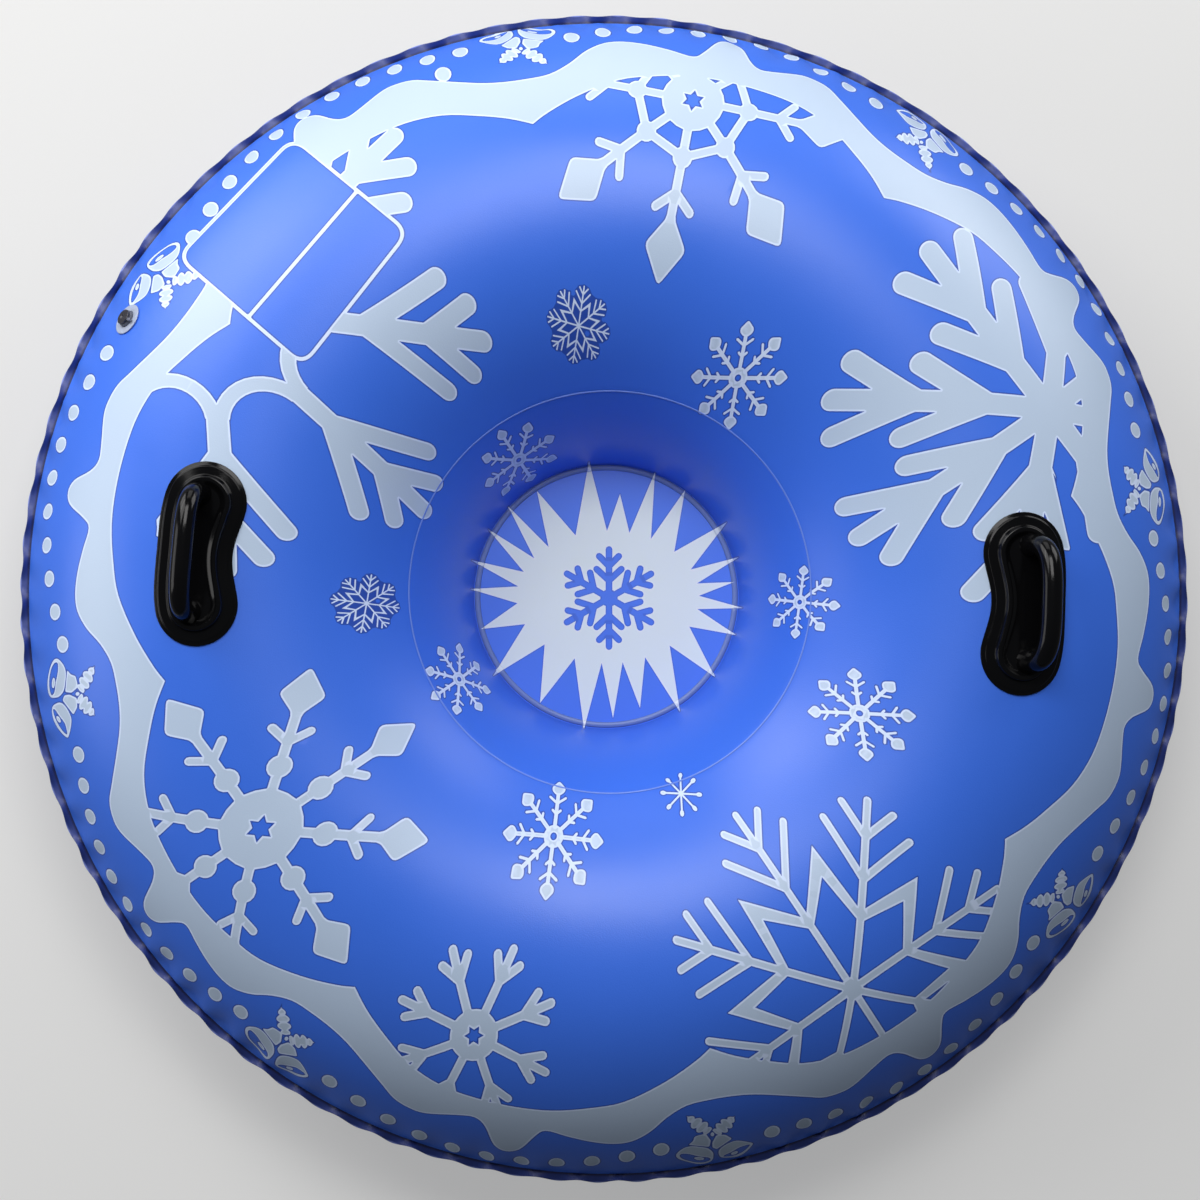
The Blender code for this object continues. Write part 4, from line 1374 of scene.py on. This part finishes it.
# %% The burst and the flake in the middle of the seat
BURST_TIPS = [589 + 461j, 620 + 494j, 655 + 472j, 685 + 490j, 727 + 522j, 739 + 557j, 734 + 582j]
BURST_TIPS += [743 + 608j, 736 + 635j, 715 + 677j, 680 + 712j, 640 + 708j, 613 + 718j, 584 + 729j]
BURST_TIPS += [540 + 703j, 493 + 676j, 481 + 629j, 470 + 589j, 471 + 560j, 488 + 529j, 508 + 506j]
BURST_TIPS += [537 + 491j]
BURST_MIDDLE = 608 + 597j
BURST_VALLEY = (91, 66)
SEAT_TWIGS = [(17, 28 + 12j), (31, 40.5 + 9.5j)]
SEAT_HOLE = 8.5 * MM
burst = []
for tip, after in zip(BURST_TIPS, BURST_TIPS[1:] + BURST_TIPS[:1]):
    ways = [(end - BURST_MIDDLE) / abs(end - BURST_MIDDLE) for end in (tip, after)]
    way = (ways[0] + ways[1]) / 2
    way /= abs(way)
    burst += [tip, BURST_MIDDLE + complex(BURST_VALLEY[0] * way.real, BURST_VALLEY[1] * way.imag)]
lay([seen_outline(burst)])
seat_middle = seen_at(609 + 598j)
lay(around(twig_arm(width=6.5, end=47, twigs=SEAT_TWIGS), seat_middle, 90, 6), False)
lay([oval(seat_middle, SEAT_HOLE, SEAT_HOLE, steps=12)], False)
print("print outlines", len(layers), "with", sum(len(outline) for outline, _ in layers), "points")

# %% [markdown]
# The inflation valve is clear soft vinyl: a disc welded on the skin with a neck under it, a stem that slides
# in the neck, and a stopper with a dimple on a short strap. Its axis is the way that the stem is pulled.
# Sections are in millimetres from the skin along the axis, and the turning tree makes each piece.

# %% The place of the valve
VALVE_SIDES = 64
VALVE_INSET = 33 * MM
VALVE_ANGLE = math.radians(150.6)
stem_joint = next(joint for joint in frame["joints"] if joint["name"] == "stem_pull")
valve_axis = Vector(stem_joint["axis"]).normalized()
valve_radius = WELD_RADIUS - VALVE_INSET
valve_spot = chart_spot(valve_radius * math.cos(VALVE_ANGLE), valve_radius * math.sin(VALVE_ANGLE))
valve_origin = on_skin(valve_spot)
valve_side = valve_axis.cross(UP).normalized()
valve_down = valve_side.cross(valve_axis)
valve_place = Matrix((valve_down, valve_side, valve_axis)).transposed().to_4x4()
valve_place.translation = valve_origin
print("valve at", short(valve_origin), "axis", short(valve_axis))

# %% The sizes of the valve
BORE = 4.2
STEM = 8.0
STEM_TOP = 4.0
COLLAR = 9.3
COLLAR_THICKNESS = 1.2
STEM_BOTTOM = -20.5
FLANGE = 15.2
FLANGE_LOW = 0.3
FLANGE_HIGH = 1.5
NECK_INNER = 8.3
NECK_OUTER = 9.5
NECK_LOW = -9.0
CAP = 7.4
CAP_LOW = 4.3
CAP_HIGH = 6.5
DIMPLE = 3.2
DIMPLE_DRAFT = 0.4
DIMPLE_LOW = 5.7
SHANK = 4.0
SHANK_LOW = -4.7
ROUNDING = 0.5
HOLE_RADIUS = (NECK_OUTER + FLANGE_LOW) * MM


def valve_piece(name, corners, finish):
    """A round piece of the valve from a closed line of (radius, height) corners in millimetres."""
    line = rounded([complex(radius, height) for radius, height in corners], ROUNDING)
    line = [(max(0, point.real) * MM, point.imag * MM) for point in line]
    return turned_piece(name, line + [line[0]], VALVE_SIDES, finish, None, valve_place)


print("the stem is", STEM_TOP - STEM_BOTTOM, "mm long, with a bore of", 2 * BORE, "mm")

# %% [markdown]
# Clear vinyl is partly seen through: it has a weight of transmission, a little blue-grey of its own, and the
# faint haze of moulding that the grain group gives to its roughness. The stopper is smoky and nearly black.

# %% Clear vinyl
VINYL_BEND = 1.5


def clear_vinyl(name, colour, clear_share):
    """A glossy vinyl that is partly seen through."""
    made, tree, shader, _ = vinyl(name, colour, roughness=0.1, shade_share=0.3, grain_height=0.08)
    fill_all(tree, shader.inputs, {"Transmission Weight": clear_share, "IOR": VINYL_BEND})
    return made


pale_clear = clear_vinyl("pale_clear_vinyl", (0.62, 0.70, 0.88), clear_share=0.4)
grey_clear = clear_vinyl("grey_clear_vinyl", (0.20, 0.22, 0.30), clear_share=0.4)
smoky_clear = clear_vinyl("smoky_clear_vinyl", (0.030, 0.030, 0.042), clear_share=0.1)
flap_vinyl, *_ = vinyl("flap_vinyl", (0.30, 0.35, 0.44), roughness=0.35, shade_share=0.1, grain_height=0.3)
print("the clear vinyls bend light by", VINYL_BEND)

# %% The turned pieces of the valve
flange_corners = [(NECK_INNER, FLANGE_HIGH), (FLANGE, FLANGE_HIGH), (FLANGE, FLANGE_LOW)]
flange_corners += [(NECK_OUTER, FLANGE_LOW), (NECK_OUTER, NECK_LOW), (NECK_INNER, NECK_LOW)]
clear_flange = valve_piece("clear_flange", flange_corners, pale_clear)
stem_corners = [(BORE, STEM_TOP), (STEM, STEM_TOP), (STEM, STEM_BOTTOM + COLLAR_THICKNESS)]
stem_corners += [(COLLAR, STEM_BOTTOM + COLLAR_THICKNESS), (COLLAR, STEM_BOTTOM), (BORE, STEM_BOTTOM)]
clear_stem = valve_piece("clear_stem", stem_corners, grey_clear)
plug_corners = [(0, DIMPLE_LOW), (DIMPLE - DIMPLE_DRAFT, DIMPLE_LOW), (DIMPLE, CAP_HIGH), (CAP, CAP_HIGH)]
plug_corners += [(CAP, CAP_LOW), (SHANK, CAP_LOW), (SHANK, SHANK_LOW), (0, SHANK_LOW)]
clear_plug = valve_piece("clear_plug", plug_corners, smoky_clear)

# %% The strap of the stopper
STRAP_HALF = 0.4
STRAP_WIDTH = 3.0
STRAP_LOW = 3.1
STRAP_HIGH = 5.6
STRAP_START = 8.3
STRAP_END = 7.7
STRAP_BEND_AT = 10.15
STRAP_STEPS = 14
STRAP_SIDES = 12
STRAP_EDGE_POWER = 0.6
strap_bend = (STRAP_HIGH - STRAP_LOW) / 2
strap_middle = (STRAP_HIGH + STRAP_LOW) / 2
strap_line = [(STRAP_START, STRAP_LOW, -90)]
for k in range(STRAP_STEPS + 1):
    turn = 180 * k / STRAP_STEPS - 90
    way = turned(turn)
    strap_line.append((STRAP_BEND_AT + strap_bend * way.real, strap_middle + strap_bend * way.imag, turn))
strap_line.append((STRAP_END, STRAP_HIGH, 90))
strap_rings = []
for along, height, turn in strap_line:
    out = turned(turn)
    ring = []
    for k in range(STRAP_SIDES):
        side = turned(360 * k / STRAP_SIDES)
        thick = STRAP_HALF * side.real
        wide = STRAP_WIDTH / 2 * math.copysign(abs(side.imag) ** STRAP_EDGE_POWER, side.imag)
        ring.append(valve_place @ (Vector((along + out.real * thick, wide, height + out.imag * thick)) * MM))
    strap_rings.append(ring)
mesh = bmesh.new()
loft(mesh, strap_rings, closed=True)
clear_strap = finished("clear_strap", mesh, grey_clear)
print("valve pieces", [piece.name for piece in (clear_flange, clear_stem, clear_plug, clear_strap)])

# %% [markdown]
# The sheet itself is one mesh, cut along every edge of the print. First all outlines go into a triangulation
# that reports which outlines each triangle lies in. The topmost one says whether the triangle is ink. The
# edges between ink and bare ground are kept, and a second triangulation fills the sheet evenly between them.

# %% First triangulation: where is ink
COLUMNS_IN_PUCKER = 8
PUCKER_COLUMNS = PUCKERS * COLUMNS_IN_PUCKER
OUTSIDE = -1


def cut_up(points, edges, faces):
    """Triangles of a plan with all given edges and faces kept, and the faces that each triangle lies in."""
    corners = [Vector((point.real, point.imag)) for point in points]
    made = delaunay_2d_cdt(corners, edges, faces, 0, MERGE_DISTANCE, True)
    return [complex(*corner) for corner in made[0]], made[2], made[5]


def counterclockwise(outline):
    """The outline, turned round where it runs clockwise, because the triangulation takes that for a hole."""
    area = sum((outline[k - 1].conjugate() * outline[k]).imag for k in range(len(outline)))
    return outline if area > 0 else outline[::-1]


def circle(reach, sides):
    """The corners of a circle about the middle, on the chart."""
    return [reach * turned(360 * k / sides) for k in range(sides)]


rim_line = circle(EDGE, PUCKER_COLUMNS)
hole_line = []
for way in circle(HOLE_RADIUS, VALVE_SIDES):
    place = valve_origin + valve_down * way.real + valve_side * way.imag
    hole_line.append(chart_spot(place.x, place.y))
plan_points = []
plan_faces = []
for outline in (rim_line, hole_line, *(outline for outline, _ in layers)):
    plan_faces.append(list(range(len(plan_points), len(plan_points) + len(outline))))
    plan_points += counterclockwise(outline)
cut_points, cut_faces, cut_origins = cut_up(plan_points, [], plan_faces)
kinds = []
for origins in cut_origins:
    topmost = max(origins, default=0)
    if 0 not in origins or 1 in origins:
        kinds.append(OUTSIDE)
    else:
        kinds.append(int(topmost > 1 and layers[topmost - 2][1]))
finder = BVHTree.FromPolygons([(point.real, point.imag, 0) for point in cut_points], cut_faces)
print("first cut", len(cut_faces), "triangles,", kinds.count(1), "of ink")

# %% The edges that are kept
kinds_beside = {}
for kind, face in zip(kinds, cut_faces):
    for start, end in zip(face, (*face[1:], face[0])):
        kinds_beside.setdefault((min(start, end), max(start, end)), []).append(kind)
kept_points = []
kept_edges = []
print_edges = []
new_index = {}


def kept(old):
    """The number of an old corner among the kept points."""
    if old not in new_index:
        new_index[old] = len(kept_points)
        kept_points.append(cut_points[old])
    return new_index[old]


for (start, end), beside in kinds_beside.items():
    either = set(beside) if len(beside) > 1 else {*beside, OUTSIDE}
    if len(either) > 1:
        kept_edges.append((kept(start), kept(end)))
        if OUTSIDE not in either:
            print_edges.append((cut_points[start], cut_points[end]))
print("kept edges", len(kept_edges), "of which print", len(print_edges))

# %% Points between the edges
SAMPLE_STEP = 0.8 * MM
BESIDE_EDGE = 2.2 * MM
BESIDE_GAP = 1.2 * MM
BESIDE_STEP = 4.5 * MM
SPREAD = 6.5 * MM
SPREAD_GAP = 3.0 * MM
PUCKER_REACH = 42 * MM
PUCKER_ROWS = 9
SHORTEST_EDGE = 1.2 * MM
FOOT_SIDES = 180
FOOT_RISES_MM = (1.8, 3.8, 6.8)


def tree_of(places):
    """A search tree of places."""
    tree = KDTree(len(places))
    for k, place in enumerate(places):
        tree.insert(place, k)
    tree.balance()
    return tree


def flat_vector(point):
    return Vector((point.real, point.imag, 0))


edge_samples = []
for start, end in print_edges:
    edge_samples += divided([start, end], SAMPLE_STEP, closed=False)
near_edge = tree_of([flat_vector(point) for point in edge_samples])
taken_cells = {}
filling = []


def cell_of(point, size, column=0, row=0):
    return math.floor(point.real / size) + column, math.floor(point.imag / size) + row, size


def add_filling(point, gap):
    """Adds a point unless an edge of the print or another added point lies within the gap."""
    if near_edge.find(flat_vector(point))[2] <= gap:
        return
    for column in (-1, 0, 1):
        for row in (-1, 0, 1):
            others = taken_cells.get(cell_of(point, gap, column, row), [])
            if any(abs(other - point) < gap for other in others):
                return
    for size in (BESIDE_GAP, SPREAD_GAP):
        taken_cells.setdefault(cell_of(point, size), []).append(point)
    filling.append(point)


for start, end in print_edges:
    if abs(end - start) > SHORTEST_EDGE:
        parts = math.ceil(abs(end - start) / BESIDE_STEP)
        beside = (end - start) / abs(end - start) * 1j * BESIDE_EDGE
        for k in range(parts):
            foot = start + (end - start) * (k + 0.5) / parts
            for point in (foot + beside, foot - beside):
                if abs(point) < EDGE - BESIDE_EDGE:
                    add_filling(point, BESIDE_GAP)
beside_count = len(filling)
for rise in FOOT_RISES_MM:
    for point in circle(FOOT + rise * MM, FOOT_SIDES):
        add_filling(point, BESIDE_GAP)
ring_reaches = [EDGE - PUCKER_REACH * k / PUCKER_ROWS for k in range(1, PUCKER_ROWS + 1)]
plain_rings = int((EDGE - PUCKER_REACH) / SPREAD)
ring_reaches += [(EDGE - PUCKER_REACH) * k / plain_rings for k in range(plain_rings)]
for row, reach in enumerate(ring_reaches):
    columns = PUCKER_COLUMNS if row < PUCKER_ROWS else max(1, round(math.tau * reach / SPREAD))
    shift = 0.5 * (row % 2) if row >= PUCKER_ROWS else 0
    for k in range(columns):
        point = reach * turned(360 * (k + shift) / columns)
        if abs(abs(point) - FOOT) > SPREAD_GAP:
            add_filling(point, SPREAD_GAP)
print("points beside edges", beside_count, "and between them", len(filling) - beside_count)

# %% Second triangulation: the sheet
DOWN = -UP


def loop_edges(first, count):
    """The edges of a closed line of corners that are numbered from the first."""
    return [(first + k, first + (k + 1) % count) for k in range(count)]


foot_edges = loop_edges(len(kept_points), FOOT_SIDES)
all_points = kept_points + circle(FOOT, FOOT_SIDES) + filling
sheet_points, sheet_faces, _ = cut_up(all_points, kept_edges + foot_edges, [])


def kind_at(point):
    """Bare ground, ink or outside, at a point of the chart."""
    hit = finder.ray_cast(flat_vector(point) - DOWN, DOWN)
    return OUTSIDE if hit[2] is None else kinds[hit[2]]


face_kinds = [kind_at(sum(sheet_points[k] for k in face) / 3) for face in sheet_faces]
sheet_faces = [face for face, kind in zip(sheet_faces, face_kinds) if kind != OUTSIDE]
face_kinds = [kind for kind in face_kinds if kind != OUTSIDE]
print("sheet", len(sheet_points), "points,", len(sheet_faces), "triangles")

# %% [markdown]
# The skin is drawn in by the rim weld, so shallow puckers run in from the rim and fade within a few
# centimetres. They have the same count as the rim's own waves. Each corner also gets its distance from the
# nearest edge of the print, which the bare and the inked vinyl use for their fine outlines.

# %% The skin
PUCKER_LIFT = 1.3 * MM
PUCKER_PEAK = 11 * MM
PUCKER_END = 5
PUCKER_SWINGS = ((0.3, 5, 1), (0.25, 11, 2))
FARTHEST = 12 * MM


def pucker(point):
    """The lift of the puckers at a spot: none at the weld, most a centimetre in, then fading."""
    inwards_by = (EDGE - abs(point)) / PUCKER_PEAK
    if inwards_by > PUCKER_END:
        return 0
    angle = cmath.phase(point)
    uneven = 1
    for swing, waves, start in PUCKER_SWINGS:
        uneven += swing * math.sin(waves * angle + start)
    return PUCKER_LIFT * uneven * inwards_by * math.exp(1 - inwards_by) * math.sin(PUCKERS * angle)


near_print = tree_of([on_skin(point) for point in edge_samples])


def printed_piece(name, spots, faces, places, slots, finishes, reach=EDGE):
    """A mesh of printed vinyl, with its distance from the print's edges, and the chart as its map."""
    data = bpy.data.meshes.new(name)
    data.from_pydata(places, [], faces)
    for finish in finishes:
        data.materials.append(finish)
    data.polygons.foreach_set("material_index", slots)
    distances = [min(FARTHEST, near_print.find(on_skin(spot))[2]) for spot in spots]
    data.attributes.new("edge_distance", "FLOAT", "POINT").data.foreach_set("value", distances)
    mapped = [spots[loop.vertex_index] / (2 * reach) + complex(0.5, 0.5) for loop in data.loops]
    chart_map = data.uv_layers.new(name="OFBake")
    chart_map.data.foreach_set("uv", [part for spot in mapped for part in (spot.real, spot.imag)])
    data.update()
    shade(data)
    print(name, len(data.polygons), "faces, ink on", sum(slot % 2 for slot in slots))
    return add_object(name, data)


# Faces on the seat take the brighter copies, whose colours carry painted light.
skin_slots = []
for face, kind in zip(sheet_faces, face_kinds):
    on_seat = abs(sum(sheet_points[k] for k in face)) / 3 < FOOT
    skin_slots.append(kind + 2 * on_seat)
skin_places = [on_skin(point, pucker(point)) for point in sheet_points]
skin_finishes = (blue_vinyl, white_print, seat_painted_light_vinyl, seat_painted_light_print)
skin_parts = (sheet_points, sheet_faces, skin_places, skin_slots)
printed_skin = printed_piece("printed_skin", *skin_parts, skin_finishes)

# %% [markdown]
# The weld round the seat floor is a low, broad bead, greyer than the sheets. The burst was printed over it
# after welding, so it is cut along the burst's edges too: a ring of the chart with rows from side to side,
# raised into a rounded section, and the same again below to close it.

# %% The weld round the seat floor
RING_WIDTH = 5.6 * MM
RING_PROUD = 1.1 * MM
RING_ROWS = 6
RING_COLUMNS = 360
RING_MERGE = 0.001 * MM
ring_outer = FLOOR_RADIUS - 2 * FIT_GAP
ring_inner = ring_outer - RING_WIDTH
ring_points = []
for row in range(RING_ROWS + 1):
    reach = ring_inner + RING_WIDTH * row / RING_ROWS
    ring_points += circle(reach, RING_COLUMNS)
ring_edges = loop_edges(0, RING_COLUMNS) + loop_edges(RING_ROWS * RING_COLUMNS, RING_COLUMNS)
for start, end in print_edges:
    if max(abs(start), abs(end)) > ring_inner and min(abs(start), abs(end)) < ring_outer:
        ring_edges.append((len(ring_points), len(ring_points) + 1))
        ring_points += [start, end]
cut_spots, cut_triangles, _ = cut_up(ring_points, ring_edges, [])
ring_kinds = []
ring_faces = []
for face in cut_triangles:
    middle = sum(cut_spots[k] for k in face) / 3
    if ring_inner < abs(middle) < ring_outer and len(face) == 3:
        ring_faces.append(tuple(face))
        ring_kinds.append(kind_at(middle))
used = sorted({k for face in ring_faces for k in face})
place_of = {old: new for new, old in enumerate(used)}
ring_spots = [cut_spots[k] for k in used]


def ring_lift(spot):
    """The height of the bead's rounded section over the seat floor."""
    return RING_PROUD * math.sin(math.pi * min(1, max(0, (abs(spot) - ring_inner) / RING_WIDTH)))


ring_places = [on_skin(spot, ring_lift(spot)) for spot in ring_spots]
ring_places += [on_skin(spot, -ring_lift(spot)) for spot in ring_spots]
upper = [tuple(place_of[k] for k in face) for face in ring_faces]
lower = [tuple(k + len(ring_spots) for k in reversed(face)) for face in upper]
ring_parts = (ring_spots * 2, upper + lower, ring_places, ring_kinds * 2)
# The burst's ink on the bead takes the seat's ink copy with painted light.
floor_bead = printed_piece("floor_bead", *ring_parts, (weld_vinyl, seat_painted_light_print), FOOT)
mesh = bmesh.new()
mesh.from_mesh(floor_bead.data)
bmesh.ops.remove_doubles(mesh, verts=mesh.verts, dist=RING_MERGE)
mesh.to_mesh(floor_bead.data)
mesh.free()

# %% Riding and replacing
for piece in (under_skin, rim_band, seam_bead, floor_bead, printed_skin, clear_flange, *handles.values()):
    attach(piece, "tube")
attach(clear_stem, "stem")
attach(clear_plug, "plug")
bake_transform(clear_strap)
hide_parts("valve_flange")
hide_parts("valve_stem")
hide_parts("valve_plug")
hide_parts("valve_tether")
flap_node = frame["nodes"]["valve_flap"]
flap_node.data.materials.clear()
flap_node.data.materials.append(flap_vinyl)
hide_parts("bottom_sheet")
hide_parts("outer_weld_rim")
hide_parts("well_seam_weld")
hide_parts("floor_weld_ring")
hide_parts("top_sheet", "well_sheet")
for name, piece in handles.items():
    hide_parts(name)
